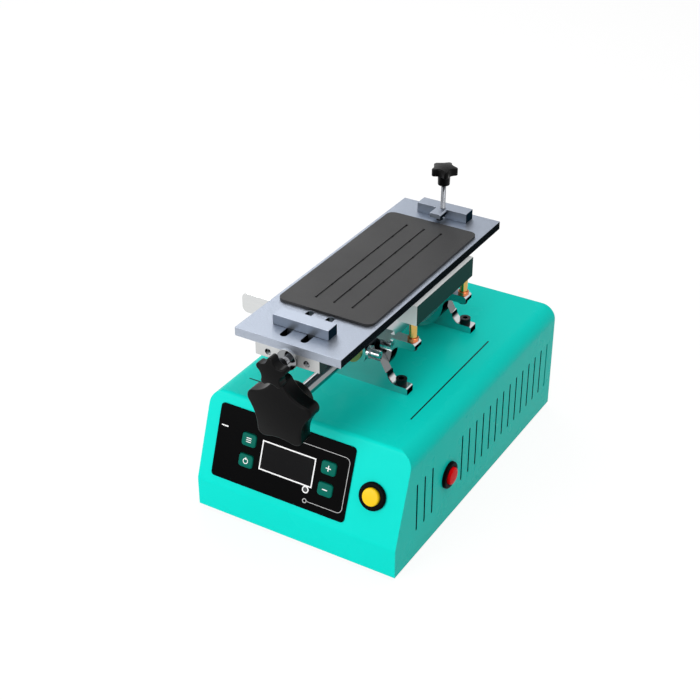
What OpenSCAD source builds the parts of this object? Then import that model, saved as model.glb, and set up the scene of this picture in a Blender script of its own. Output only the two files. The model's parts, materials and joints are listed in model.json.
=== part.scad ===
// Bench separator for phone screens: a heated tilting work table on a powder coated sheet steel housing.
// Millimetres, +Z up, +X right along the front, +Y to the rear.
// The origin is the centre of the housing's underside, the face that the feet are screwed to.

/* [Base housing] */
// Width of the housing across the front
housing_w = 170; // [150:1:210]
// Depth of the housing from the kick to the back edge
housing_d = 264; // [250:1:320]
// Height of the housing from its underside to the deck
housing_h = 92; // [84:1:110]
// Height of the upright kick below the raked control face
kick_h = 24; // [16:1:28]
// How far the raked face leans back over its height
rake_run = 24; // [16:1:30]
// Radius of the long top edges
edge_r = 12; // [6:1:18]
// Radius of the fold between the raked face and the deck
fold_r = 3.5; // [2:0.5:10]
// Radius of the fold between the kick and the raked face
kick_r = 8; // [4:0.5:12]
// Thickness of the folded sheet steel
sheet_t = 1.2; // [1:0.1:1.6]
// Clearance between parts that are fitted by hand
fit = 0.2; // [0.1:0.05:0.3]

/* [Side vents] */
// Width of one vent slot
vent_w = 2; // [1.5:0.1:3]
// Height of the lower end of the vent slots
vent_low = 22; // [18:1:28]
// Height of the upper end of the vent slots
vent_high = 62.8; // [50:0.1:70]
// Distance from the housing's front to the first slot
vent_first = 30.8; // [28:0.1:36]
// Distance from one slot to the next
vent_pitch = 11.63; // [9:0.01:12]
// Number of slot places on each side
vent_count = 20; // [8:1:20]

/* [Feet] */
// How far the rubber feet stand below the housing
foot_h = 2.5; // [2:0.1:6]
// Radius of a foot where it meets the floor
foot_r = 9; // [7:0.5:11]
// Distance from the housing's edges to the centre of a foot
foot_inset = 20; // [18:1:30]

/* [Control panel] */
// Width of the black overlay on the raked face
overlay_w = 115.3; // [110:0.1:120]
// Length of the overlay up the rake
overlay_len = 57.2; // [54:0.1:60]
// Centre of the overlay to the left of the housing's middle
overlay_left = 16.05; // [14:0.05:18]
// Lower edge of the overlay, up the rake from the kick
overlay_low = 6.6; // [3:0.1:8]
// Thickness of the overlay
overlay_t = 0.8; // [0.5:0.1:1.2]
// Corner radius of the overlay
overlay_r = 3; // [2:0.5:6]
// Width of the display window
window_w = 43.8; // [42:0.2:48]
// Height of the display window
window_len = 20.8; // [20:0.2:24]
// Centre of the window from the overlay's left edge
window_at = 62.5; // [60:0.1:64]
// Centre of the window above the overlay's lower edge
window_up = 28.3; // [27:0.1:30]
// Width of one key cap
key_w = 12.4; // [11:0.2:13]
// Height of one key cap
key_len = 10; // [9:0.2:11.6]
// Corner radius of a key cap
key_r = 2.4; // [1:0.1:3]
// Centre of the left column of keys from the overlay's left edge
key_left_at = 28.2; // [26:0.2:29]
// Centre of the right column of keys from the overlay's left edge
key_right_at = 96.5; // [96:0.1:100]
// Centre of the upper row of keys above the overlay's lower edge
key_top_up = 36.3; // [36:0.1:40]
// Centre of the lower row of keys above the overlay's lower edge
key_low_up = 20; // [17:0.1:21]
// How far a key stands out of the overlay
key_proud = 0.9; // [0.7:0.1:1.2]
// Travel of a key
key_travel = 0.5; // [0.3:0.1:0.6]

/* [Push buttons] */
// Radius of the black button bezels
bezel_r = 10.5; // [9.2:0.1:11]
// Radius of the button caps
cap_r = 6.7; // [6:0.1:7]
// Radius of the threaded barrel behind the panel
barrel_r = 8; // [7.8:0.1:8.2]
// How far the bezel stands out of the panel
bezel_h = 2.6; // [2:0.1:3.2]
// How far the cap stands out of the bezel
cap_proud = 2; // [1.6:0.1:2.6]
// Travel of a button cap
button_travel = 1.5; // [1:0.1:1.6]
// How far the yellow button stands left of the middle between overlay and right side
yellow_off = 3.1; // [2:0.1:4]
// Centre of the yellow button, up the rake from the kick
yellow_up = 32.9; // [28:0.1:38]
// Centre of the red button behind the housing's front
red_back = 79.3; // [77:0.1:84]
// Height of the centre of the red button
red_z = 40.7; // [36:0.1:46]
// Length of side kept free of vents each way from the red button
red_clear = 17.5; // [12:0.5:17.5]

/* [Tilt head] */
// Height of the tilt axis above the deck
axis_h = 27.7; // [27.2:0.1:34]
// Radius of the tilt shaft
shaft_r = 5; // [4:0.5:6]
// Thickness of a trestle bracket
bracket_t = 8.6; // [8.6:0.1:10]
// Front face of the front bracket behind the housing's front
bracket_back = 87.1; // [85:0.1:92]
// Clear length between the two brackets
bracket_span = 94.3; // [92:0.1:100]
// Half width of a bracket over its feet
bracket_half = 44.7; // [42:0.1:50]
// Thickness of a bracket's feet
bracket_foot_t = 5.6; // [4.5:0.1:7]
// Height of a bracket's flat top above the deck
bracket_top = 24.2; // [22:0.1:25]
// Half width of a bracket's flat top
bracket_top_half = 20.8; // [18:0.1:24]
// Radius of the bearing boss on a bracket
boss_r = 12.5; // [11:0.1:14]
// How far the boss stands out of the bracket
boss_out = 5; // [4:0.1:6]

/* [Cradle] */
// Thickness of a cradle plate
cradle_t = 10; // [9:0.5:12]
// Radius of the disc round the shaft
disc_r = 26; // [22:0.5:26.5]
// Half width of a cradle plate over its wings
wing_half = 45.4; // [45.4:0.1:48]
// Height of the wings' seats above the tilt axis
wing_top = 11.3; // [10:0.1:14]
// Thickness of a wing
wing_t = 6.1; // [5:0.1:7]
// Radius of a brass post
post_r = 3; // [2.5:0.1:3]
// Radius of the copper ring at the foot of a post
ring_r = 4.2; // [3.8:0.1:4.6]
// Height of the copper ring
ring_h = 3.2; // [2:0.1:4]
// Centre of a post from the table's middle
post_x = 41.2; // [41:0.1:41.6]

/* [Heater box] */
// Half width of the heater box
hood_half = 46; // [46:0.1:48]
// Height of the heater box under the table
hood_h = 16.2; // [15:0.1:18]
// Sheet thickness of the heater box
hood_t = 0.8; // [0.6:0.1:1]
// Width of the rim that the table sits on
rim_w = 6; // [6:0.1:7]
// Thickness of the aluminium heater block
heater_t = 9; // [9:0.1:10]

/* [Work table] */
// Width of the table
plate_w = 85; // [80:0.5:90]
// Length of the table
plate_len = 240; // [238:1:250]
// Thickness of the table
plate_t = 6.5; // [5:0.5:8]
// Height of the table's underside above the deck
plate_h = 70.5; // [70.5:0.1:80]
// How far the table reaches out in front of the housing
plate_over = 2; // [0:0.5:4]
// Width of the silicone mat
mat_w = 77; // [70:0.5:79]
// Length of the silicone mat
mat_len = 163; // [150:0.5:164]
// Thickness of the silicone mat
mat_t = 2; // [1.5:0.1:2.5]

/* [Front clamp] */
// Width of the front jaw
jaw_w = 45; // [40:0.5:50]
// Depth of a jaw, front to back
jaw_d = 11.2; // [10:0.1:11.6]
// Height of a jaw above the table
jaw_h = 8; // [6:0.1:10]
// Front face of the front jaw behind the table's front edge
jaw_back = 16.9; // [16:0.1:20]
// Centre of a table slot from the middle
slot_x = 8.3; // [8:0.1:9.5]
// Width of a table slot
slot_w = 5.4; // [5:0.1:6]
// How far the jaw closes from where it stands
jaw_close = 15; // [10:0.5:15]
// Height of the front block under the table
block_h = 9.3; // [9.3:0.1:12]
// Half width of the front block
block_half = 25.7; // [24:0.1:28]
// Distance of the clamp screw's axis below the table
screw_drop = 6; // [5.8:0.1:6.6]
// Centre of a guide rod from the middle
rod_x = 15.5; // [15:0.1:17]

/* [Rear clamp] */
// Width of the rear jaw
rear_jaw_w = 43; // [40:0.5:48]
// Front face of the rear jaw from the table's rear edge
rear_jaw_in = 17.5; // [17:0.1:18]
// Length of the nose that reaches over the work
nose_len = 11.3; // [8:0.1:11.3]
// Width of the nose
nose_w = 9.2; // [9:0.1:12]
// Height of the clamp screw's knob above the table
rod_up = 28; // [24:0.5:40]
// Radius of the upright clamp screw
rod_r = 2; // [1.5:0.1:2]

/* [Star knobs] */
// Radius of the large tilt knob over its lobes
big_knob_r = 26; // [22:0.5:27]
// Thickness of the large knob's star
big_star_t = 10; // [8:0.5:12]
// Radius of the large knob's hub
big_hub_r = 14.5; // [11:0.5:15]
// Length of the large knob's hub
big_hub_len = 15; // [12:0.5:18]
// Radius of the small knobs over their lobes
small_knob_r = 12; // [9:0.5:13]
// Thickness of a small knob's star
small_star_t = 8.6; // [6:0.1:9]
// Radius of a small knob's hub
small_hub_r = 5; // [4.5:0.1:5.6]
// Length of a small knob's hub
small_hub_len = 7; // [6:0.1:8]
// How far the tilt knob stands out in front of the housing
tilt_knob_out = 15; // [14:0.5:20]

/* [Lock lever] */
// Thickness of the lever blade
lever_t = 2; // [1.5:0.1:3]
// Height of the lever blade
lever_h = 15.6; // [14:0.1:15.8]
// How far the blade reaches out beside the table
lever_out = 31; // [24:0.5:31]
// Centre of the lever behind the table's front edge
lever_back = 54; // [52:0.5:56]
// Corner radius of the lever blade
lever_corner_r = 4.5; // [3:0.5:6]

/* [Hidden] */
// Facets of round features
fine = 64;
// Facets of small round features
small = 32;
// Overrun of every cut
cut = 1;
// Overlap by which the valleys of a star run into its tips
blend = 0.03;
// Thread radii of the M3, M4 and M5 screws, and the shares that give their heads and sockets
m3_r = 1.5;
m4_r = 2;
m5_r = 2.5;
head_share = 1.7;
half_share = 0.5;
// Clearance of a screw in its hole, of a shaft in its bore, and of pieces that stand apart
free_hole = 0.2;
run_fit = 0.05;
gap = 0.3;

// Derived places of the housing
half_w = housing_w / 2;
front = -housing_d / 2;
rear = housing_d / 2;
deck = housing_h;
rake_a = atan2(rake_run, housing_h - kick_h);
axis_z = deck + axis_h;
red_y = front + red_back;
overlay_x = -overlay_left - overlay_w / 2;
yellow_x = (overlay_x + overlay_w + half_w) / 2 - yellow_off;

// Derived places of the table
table_front = front - plate_over;
table_rear = table_front + plate_len;
table_low = deck + plate_h;
table_top = table_low + plate_t;

// Derived places of the tilt head
bracket_front = front + bracket_back;
bracket_rear = bracket_front + bracket_t + bracket_span;
cradle_front = bracket_front + bracket_t + gap;
rear_play = 3;
cradle_rear = bracket_rear - rear_play - cradle_t;
post_front_in = 4.8;
post_rear_in = 4.2;
post_front = cradle_front + post_front_in;
post_rear = cradle_rear + post_rear_in;
wing_z = axis_z + wing_top;
hood_low = table_low - hood_h;
hood_front = post_front - post_r - hood_t - gap;
hood_rear = post_rear + post_r + hood_t + gap;

// Outline helpers
module rounded_rect(w, h, r) {
    square([w - 2 * r, h], center = true);
    square([w, h - 2 * r], center = true);
    for (sx = [-1, 1], sy = [-1, 1]) translate([sx * (w / 2 - r), sy * (h / 2 - r)]) circle(r, $fn = small);
}
module slot_outline(len, w) {
    square([len - w, w], center = true);
    for (s = [-1, 1]) translate([s * (len - w) / 2, 0]) circle(w / 2, $fn = small);
}
// Places its children on the raked face: X along the front, Y up the rake, Z out of the face
module on_rake(x, up, out = 0)
    translate([0, front, kick_h]) rotate([90 - rake_a, 0, 0]) translate([x, up, out]) children();
// Turns an upright child so that it points to the front
module to_front() rotate([90, 0, 0]) children();
// Extrudes an outline drawn in X and Z from one Y to another
module across(y0, y1) translate([0, y1, 0]) rotate([90, 0, 0]) linear_extrude(y1 - y0) children();
module socket_screw(r, head_h, len) {
    difference() {
        cylinder(r = r * head_share, h = head_h, $fn = small);
        translate([0, 0, head_h * half_share])
            cylinder(r = r * head_share * half_share, h = head_h, $fn = 6);
    }
    translate([0, 0, -len]) cylinder(r = r, h = len + head_h * half_share, $fn = small);
}
module pan_screw(r, head_h, len) {
    difference() {
        intersection() {
            cylinder(r = r * head_share, h = head_h, $fn = small);
            translate([0, 0, head_h - r * head_share * head_share])
                sphere(r * head_share * head_share, $fn = fine);
        }
        for (a = [0, 90]) rotate([0, 0, a]) translate([0, 0, head_h])
            cube([r * head_share, r * half_share, head_h], center = true);
    }
    translate([0, 0, -len]) cylinder(r = r, h = len + head_h * half_share, $fn = small);
}
module hex_nut(r, t) difference() {
    cylinder(r = r * 2, h = t, $fn = 6);
    translate([0, 0, -cut]) cylinder(r = r, h = t + 2 * cut, $fn = small);
}

// Housing outlines: across the front, and along the side with both folds rounded
module front_outline(w, h, r) {
    translate([-w / 2, 0]) square([w, h - r]);
    translate([r - w / 2, 0]) square([w - 2 * r, h]);
    for (s = [-1, 1]) translate([s * (w / 2 - r), h - r]) circle(r, $fn = fine);
}
function rake_y(z, inset) = front + inset / cos(rake_a) + (z - kick_h) * tan(rake_a);
module side_outline(inset, back) {
    top = housing_h - inset;
    deck_y = rake_y(top, inset);
    fr = fold_r - inset;
    fold_tan = fr * tan((90 - rake_a) / 2);
    kick_z = kick_h - inset * tan(rake_a / 2);
    kr = kick_r - inset;
    kick_tan = kr * tan(rake_a / 2);
    fold_y = deck_y + fold_tan;
    difference() {
        polygon([[front + inset, 0], [front + inset, kick_z], [deck_y, top], [back, top], [back, 0]]);
        difference() {
            polygon([[deck_y - fold_tan * sin(rake_a), top - fold_tan * cos(rake_a)],
                [deck_y - cut, top + cut],
                [fold_y, top], [fold_y, top - fr]]);
            translate([fold_y, top - fr]) circle(fr, $fn = fine);
        }
        difference() {
            polygon([[front + inset, kick_z - kick_tan], [front + inset - cut, kick_z],
                [front + inset + kick_tan * sin(rake_a), kick_z + kick_tan * cos(rake_a)],
                [front + inset + kr, kick_z - kick_tan]]);
            translate([front + inset + kr, kick_z - kick_tan]) circle(kr, $fn = fine);
        }
    }
}
module housing_block(inset, back) intersection() {
    across(front - cut, back) front_outline(housing_w - 2 * inset, housing_h - inset, edge_r - inset);
    rotate([90, 0, 90]) linear_extrude(housing_w, center = true) side_outline(inset, back);
}

// Sheet metal cover: kick, raked face, deck and sides folded from one sheet
tab = 11;
tab_inset = 34;
key_gap = 0.3;
key_flange = 1;
lamp_r = 1.6;
lamp_x = 7;
lamp_at = lamp_x - overlay_x;
lamp_up = 14.5;
rear_inset = 1.5;
panel_y = rear - rear_inset - sheet_t;
key_places = [[key_left_at, key_top_up], [key_left_at, key_low_up], [key_right_at, key_top_up],
    [key_right_at, key_low_up]];
bracket_screw_x = 37.5;
bracket_screw_y = [bracket_front + bracket_t / 2, bracket_rear + bracket_t / 2];
grommet_x = -30;
grommet_back = 13;
grommet_y = (post_front + post_rear) / 2 + grommet_back;
grommet_r = 7;
tray_hold_x = half_w - sheet_t - fit - tab / 2;
tray_hold_y = rear - tab_inset;
panel_hold_x = half_w - sheet_t - tab / 2;
panel_hold_z = [tab + sheet_t, housing_h - edge_r - tab];
module overlay_place(at, up, out = 0) on_rake(overlay_x + at, overlay_low + up, out) children();
module housing_cover() color("#20c4b2") {
    difference() {
        housing_block(0, rear);
        difference() {
            housing_block(sheet_t, rear + cut);
            for (s = [-1, 1]) {
                for (y = [-1, 1]) translate([s * (half_w - tab / 2), y * tray_hold_y,
                    sheet_t + fit + sheet_t / 2])
                    cube([tab, tab, sheet_t], center = true);
                for (z = panel_hold_z) translate([s * (half_w - tab / 2), panel_y - sheet_t / 2, z])
                    cube([tab, sheet_t, tab], center = true);
            }
        }
        tray_places() cylinder(r = m3_r, h = 4 * sheet_t, $fn = small);
        panel_places() cylinder(r = m3_r, h = 4 * sheet_t, center = true, $fn = small);
        translate([0, 0, -cut]) linear_extrude(cut + sheet_t / 2)
            translate([-half_w + sheet_t, front + sheet_t]) square([housing_w - 2 * sheet_t, housing_d]);
        for (s = [-1, 1], i = [0 : vent_count - 1]) {
            y = front + vent_first + i * vent_pitch;
            if (s < 0 || abs(y - red_y) > red_clear)
                translate([s * half_w, y, (vent_low + vent_high) / 2]) rotate([0, 90, 0])
                    linear_extrude(4 * sheet_t, center = true) slot_outline(vent_high - vent_low, vent_w);
        }
        overlay_place(window_at, window_up) linear_extrude(4 * sheet_t, center = true)
            rounded_rect(window_w - 2 * fit, window_len - 2 * fit, sheet_t);
        for (p = key_places) overlay_place(p[0], p[1]) linear_extrude(4 * sheet_t, center = true)
            rounded_rect(key_w + 2 * key_gap, key_len + 2 * key_gap, key_r + key_gap);
        overlay_place(lamp_at, lamp_up)
            cylinder(r = lamp_r + fit, h = 4 * sheet_t, center = true, $fn = small);
        on_rake(yellow_x, yellow_up)
            cylinder(r = barrel_r + fit, h = 4 * sheet_t, center = true, $fn = fine);
        translate([half_w, red_y, red_z]) rotate([0, 90, 0])
            cylinder(r = barrel_r + fit, h = 4 * sheet_t, center = true, $fn = fine);
        for (s = [-1, 1], y = bracket_screw_y) translate([s * bracket_screw_x, y, deck])
            cylinder(r = m5_r + free_hole, h = 4 * sheet_t, center = true, $fn = small);
        translate([grommet_x, grommet_y, deck])
            cylinder(r = grommet_r, h = 4 * sheet_t, center = true, $fn = fine);
    }
}

// Floor tray between the cover's walls, with stiffening side flanges and an air grille
tray_w = housing_w - 2 * sheet_t - 2 * fit;
tray_front = front + sheet_t + fit;
tray_len = rear - rear_inset - sheet_t - fit - tray_front;
flange_h = 12;
flange_len_share = 0.62;
grille_slots = 6;
grille_pitch = 9;
grille_len = 60;
grille_w = 3;
foot_x = half_w - foot_inset;
foot_y = rear - foot_inset;
module foot_places() for (sx = [-1, 1], sy = [-1, 1]) translate([sx * foot_x, sy * foot_y, 0]) children();
module tray_places() for (sx = [-1, 1], sy = [-1, 1]) translate([sx * tray_hold_x, sy * tray_hold_y, 0])
    children();
module panel_places() for (s = [-1, 1], z = panel_hold_z) translate([s * panel_hold_x, panel_y, z])
    to_front() children();
module base_tray() color("#8f9696") {
    difference() {
        translate([-tray_w / 2, tray_front, 0]) cube([tray_w, tray_len, sheet_t]);
        foot_places() cylinder(r = m3_r + free_hole, h = 4 * sheet_t, center = true, $fn = small);
        tray_places() cylinder(r = m3_r + free_hole, h = 4 * sheet_t, center = true, $fn = small);
        for (i = [0 : grille_slots - 1]) translate([0, (i - (grille_slots - 1) / 2) * grille_pitch, 0])
            linear_extrude(4 * sheet_t, center = true) slot_outline(grille_len, grille_w);
    }
    for (s = [-1, 1]) translate([s * (tray_w - sheet_t) / 2, 0, flange_h / 2 + sheet_t / 2])
        cube([sheet_t, tray_len * flange_len_share, flange_h], center = true);
}

// Round rubber feet, each with a sunk screw
foot_sink_r = m3_r * head_share + free_hole;
foot_sink_share = 0.6;
foot_head_share = 0.8;
foot_sink = foot_h * foot_sink_share;
foot_chamfer = 0.8;
module rubber_feet() color("#1c1c1e") foot_places() difference() {
    rotate_extrude($fn = fine)
        polygon([[0, -foot_h], [foot_r - foot_chamfer, -foot_h], [foot_r, foot_chamfer - foot_h],
        [foot_r - foot_chamfer, 0], [0, 0]]);
    translate([0, 0, -foot_h - cut]) cylinder(r = foot_sink_r, h = foot_sink + cut, $fn = small);
    translate([0, 0, -foot_h - cut]) cylinder(r = m3_r + free_hole, h = foot_h + 2 * cut, $fn = small);
}
screw_nut_t = 2.4;
foot_head = foot_sink * foot_head_share;
module foot_screws() color("#9aa0a4") foot_places() {
    translate([0, 0, foot_sink - foot_h]) mirror([0, 0, 1])
        pan_screw(m3_r, foot_head, foot_h + sheet_t + screw_nut_t);
    translate([0, 0, sheet_t]) hex_nut(m3_r, screw_nut_t);
}
tray_head = 1.6;
// Like screws through the tray and the rear panel into the cover's tabs
module case_screws() color("#9aa0a4") {
    tray_places() mirror([0, 0, 1]) pan_screw(m3_r, tray_head, 3 * sheet_t);
    panel_places() translate([0, 0, -sheet_t]) mirror([0, 0, 1]) pan_screw(m3_r, tray_head, 3 * sheet_t);
}

// Rear panel inside the cover's open end
panel_w = tray_w;
panel_low = 0;
inlet_in = 39;
inlet_x = inlet_in - half_w;
inlet_z = 30;
inlet_w = 27;
inlet_h = 19.6;
inlet_screw_x = 20;
rear_vent_x = 34;
rear_vent_slots = 8;
rear_vent_pitch = 8;
rear_vent_len = 40;
module rear_panel() color("#20c4b2") difference() {
    across(panel_y, panel_y + sheet_t) translate([0, panel_low])
        front_outline(panel_w, housing_h - sheet_t - fit - panel_low, edge_r - sheet_t - fit);
    translate([inlet_x, panel_y, inlet_z])
        cube([inlet_w + 2 * fit, 4 * sheet_t, inlet_h + 2 * fit], center = true);
    for (s = [-1, 1]) translate([inlet_x + s * inlet_screw_x, panel_y, inlet_z]) to_front()
        cylinder(r = m3_r + free_hole, h = 4 * sheet_t, center = true, $fn = small);
    for (i = [0 : rear_vent_slots - 1])
        translate([rear_vent_x + (i - (rear_vent_slots - 1) / 2) * rear_vent_pitch, panel_y,
            (vent_low + vent_high) / 2])
            to_front() linear_extrude(4 * sheet_t, center = true) rotate([0, 0, 90])
                slot_outline(rear_vent_len, vent_w);
    panel_places() cylinder(r = m3_r + free_hole, h = 4 * sheet_t, center = true, $fn = small);
}

// Mains inlet: flange, body and three contact blades in a socket
inlet_flange_w = 50;
inlet_flange_h = 22.6;
inlet_flange_t = 2.6;
inlet_body_len = 18;
socket_w = 23.6;
socket_h = 15.8;
socket_depth = 14;
socket_chamfer = 4;
blade_w = 2;
blade_h = 4;
blade_len = 11;
blade_x = 7;
blade_z = 2.4;
module socket_outline() polygon([[-socket_w / 2, -socket_h / 2], [socket_w / 2, -socket_h / 2],
    [socket_w / 2, socket_h / 2 - socket_chamfer], [socket_w / 2 - socket_chamfer, socket_h / 2],
    [socket_chamfer - socket_w / 2, socket_h / 2], [-socket_w / 2, socket_h / 2 - socket_chamfer]]);
module mains_inlet() color("#232326") translate([inlet_x, panel_y + sheet_t, inlet_z]) {
    difference() {
        union() {
            across(0, inlet_flange_t) rounded_rect(inlet_flange_w, inlet_flange_h, foot_h);
            across(-inlet_body_len, inlet_flange_t / 2) square([inlet_w, inlet_h], center = true);
        }
        across(inlet_flange_t - socket_depth, inlet_flange_t + cut) socket_outline();
        for (s = [-1, 1]) translate([s * inlet_screw_x, 0, 0]) to_front()
            cylinder(r = m3_r + free_hole, h = 4 * inlet_flange_t, center = true, $fn = small);
    }
    for (p = [[0, blade_z], [-blade_x, -blade_z], [blade_x, -blade_z]])
        translate([p[0], inlet_flange_t - socket_depth - cut + (blade_len + cut) / 2, p[1]])
            cube([blade_w, blade_len + cut, blade_h], center = true);
}

// Overlay on the raked face, with the display window, the lamp hole and the key openings
window_step = 1.2;
module control_overlay() color("#101012") difference() {
    on_rake(overlay_x + overlay_w / 2, overlay_low + overlay_len / 2) linear_extrude(overlay_t)
        rounded_rect(overlay_w, overlay_len, overlay_r);
    overlay_place(window_at, window_up) linear_extrude(4 * overlay_t, center = true)
        rounded_rect(window_w, window_len, window_step);
    for (p = key_places) overlay_place(p[0], p[1]) linear_extrude(4 * overlay_t, center = true)
        rounded_rect(key_w + 2 * key_gap, key_len + 2 * key_gap, key_r + key_gap);
    overlay_place(lamp_at, lamp_up)
        cylinder(r = lamp_r + fit, h = 4 * overlay_t, center = true, $fn = small);
}
// The window drops into the overlay and sits on the rim of the sheet's opening
window_sink = 0.1;
module display_window() color("#2b2c2e") overlay_place(window_at, window_up)
    linear_extrude(overlay_t - window_sink) rounded_rect(window_w - fit, window_len - fit, window_step);

// Four digit display behind the window, and the board that carries it and the key switches
module_gap = 0.4;
module_t = 7;
digit_rim = 1.6;
digit_sink = 0.6;
digits = 3;
board_w = 100;
board_len = 46;
board_t = 1.6;
board_right = 5;
board_at = overlay_w / 2 + board_right;
board_up = 27;
board_out = -sheet_t - module_gap - module_t;
module display_module() color("#1a1a1c") overlay_place(window_at, window_up, board_out) difference() {
    linear_extrude(module_t) square([window_w - 2 * digit_rim, window_len - 2 * digit_rim], center = true);
    for (i = [0 : digits - 1])
        translate([(i - (digits - 1) / 2) * (window_w - 4 * digit_rim) / digits, 0, module_t - digit_sink])
            linear_extrude(digit_sink + cut)
                square([(window_w - 4 * digit_rim) / digits - digit_rim, window_len - 4 * digit_rim],
                    center = true);
}
switch_w = 6;
switch_body = 3.5;
stem_r = 1.7;
relay = [19, 15.5, 15];
choke_r = 7;
choke_h = 12;
cap_count = 3;
standoff_r = 3;
// How far the parts on the board reach into it
board_root = board_t * half_share;
board_standoff_x_share = 0.47;
board_standoff_up_share = 0.42;
module control_board() color("#1d6b43") {
    overlay_place(board_at, board_up, board_out) {
        translate([0, 0, -board_t]) linear_extrude(board_t) square([board_w, board_len], center = true);
        translate([0, 0, -board_t - relay[2]]) linear_extrude(relay[2] + board_root)
            square([relay[0], relay[1]], center = true);
        for (i = [1 : cap_count]) translate([board_w / 2 - i * choke_r * 2 - standoff_r, 0,
            -board_t - choke_h])
            cylinder(r = choke_r - gap, h = choke_h + board_root, $fn = small);
        for (sx = [-1, 1], sy = [-1, 1])
            translate([sx * board_w * board_standoff_x_share, sy * board_len * board_standoff_up_share,
                -board_root])
                cylinder(r = standoff_r, h = board_root - board_out - sheet_t, $fn = small);
    }
    for (p = key_places) overlay_place(p[0], p[1], board_out) {
        translate([0, 0, -board_root]) linear_extrude(switch_body + board_root)
            square([switch_w, switch_w], center = true);
        cylinder(r = stem_r, h = key_stem_low - board_out, $fn = small);
    }
}
module output_lamp() color("#d9d9d9") overlay_place(lamp_at, lamp_up) {
    translate([0, 0, -sheet_t - lamp_r])
        cylinder(r = lamp_r, h = sheet_t + lamp_r + overlay_t, $fn = small);
    translate([0, 0, board_out]) cylinder(r = lamp_r + fit, h = -board_out - sheet_t - fit, $fn = small);
}

// Key caps: a proud cap, a flange behind the sheet and a stem over the switch
key_flange_t = 0.8;
key_flange_play = 0.1;
key_dome = 0.35;
key_stem_low = -sheet_t - key_flange_play - key_flange_t - key_travel - key_flange_play;
module key_cap(p) overlay_place(p[0], p[1]) {
    translate([0, 0, -sheet_t - key_flange_play])
        linear_extrude(sheet_t + key_flange_play + overlay_t + key_proud - key_dome)
        rounded_rect(key_w, key_len, key_r);
    translate([0, 0, overlay_t + key_proud - key_dome]) linear_extrude(key_dome)
        rounded_rect(key_w - 2 * key_dome, key_len - 2 * key_dome, key_r - key_dome);
    translate([0, 0, -sheet_t - key_flange_play - key_flange_t]) linear_extrude(key_flange_t)
        rounded_rect(key_w + 2 * key_flange, key_len + 2 * key_flange, key_r);
}
module set_key() color("#14806c") key_cap(key_places[0]);
module power_key() color("#14806c") key_cap(key_places[1]);
module plus_key() color("#14806c") key_cap(key_places[2]);
module minus_key() color("#14806c") key_cap(key_places[3]);

// Push button: bezel and threaded barrel, cap with its plunger, and a nut behind the panel
barrel_len = 20;
cap_slip = 0.05;
bezel_round = 1;
cap_round = 1;
plunger_r = 3;
terminal_len = 6;
terminal_w = 5;
barrel_floor = 2;
cap_skirt = 9;
button_nut_t = 3;
button_nut_r = 11;
module button_bezel() {
    difference() {
        union() {
            rotate_extrude($fn = fine) polygon([[0, 0], [bezel_r, 0], [bezel_r, bezel_h - bezel_round],
                [bezel_r - bezel_round, bezel_h], [0, bezel_h]]);
            translate([0, 0, -barrel_len]) cylinder(r = barrel_r, h = barrel_len + cut, $fn = fine);
        }
        translate([0, 0, barrel_floor - barrel_len])
            cylinder(r = cap_r + cap_slip, h = barrel_len + bezel_h, $fn = fine);
    }
    for (s = [-1, 1]) translate([s * plunger_r, 0, -barrel_len - terminal_len / 2])
        cube([sheet_t, terminal_w, terminal_len + cut], center = true);
}
module button_cap() {
    rotate_extrude($fn = fine)
        polygon([[0, -cap_skirt], [cap_r, -cap_skirt], [cap_r, bezel_h + cap_proud - cap_round],
        [cap_r - cap_round, bezel_h + cap_proud], [0, bezel_h + cap_proud]]);
    translate([0, 0, barrel_floor + button_travel + gap - barrel_len])
        cylinder(r = plunger_r, h = barrel_len - barrel_floor - button_travel - gap - cap_skirt + cut,
            $fn = small);
}
module button_nut() translate([0, 0, -sheet_t - button_nut_t]) difference() {
    cylinder(r = button_nut_r, h = button_nut_t, $fn = 6);
    translate([0, 0, -cut]) cylinder(r = barrel_r, h = button_nut_t + 2 * cut, $fn = fine);
}
module at_yellow() on_rake(yellow_x, yellow_up) children();
module at_red() translate([half_w, red_y, red_z]) rotate([0, 90, 0]) children();
module yellow_bezel() color("#151517") at_yellow() button_bezel();
module yellow_cap() color("#f4c71c") at_yellow() button_cap();
module red_bezel() color("#151517") at_red() button_bezel();
module red_cap() color("#c9252b") at_red() button_cap();
module button_nuts() color("#2a2a2c") {
    at_yellow() button_nut();
    at_red() button_nut();
}

// Mains power supply on the tray: folded case, terminal strip and case vents
supply = [62, 98, 36];
supply_x = -40;
supply_in = 92;
supply_y = rear - supply_in;
supply_wall = 1.2;
terminal_h = 14;
terminal_d = 12;
terminal_count = 6;
terminal_pitch = 9;
supply_slots = 9;
module power_supply() color("#b4b8ba") translate([supply_x, supply_y, sheet_t]) {
    difference() {
        translate([-supply[0] / 2, -supply[1] / 2, 0]) cube(supply);
        translate([supply_wall - supply[0] / 2, -supply[1] / 2 - cut, terminal_h])
            cube([supply[0] - 2 * supply_wall, terminal_d + cut, supply[2]]);
        for (i = [1 : supply_slots])
            translate([0, (i / (supply_slots + 1) - half_share) * (supply[1] - 2 * terminal_d) +
                terminal_d / 2, supply[2]])
                linear_extrude(2 * supply_wall, center = true) slot_outline(supply[0] - terminal_d, vent_w);
    }
    for (i = [0 : terminal_count - 1])
        translate([(i - (terminal_count - 1) / 2) * terminal_pitch, (terminal_d - supply[1]) / 2,
            terminal_h])
            cylinder(r = m3_r * head_share, h = sheet_t, $fn = small);
}

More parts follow.
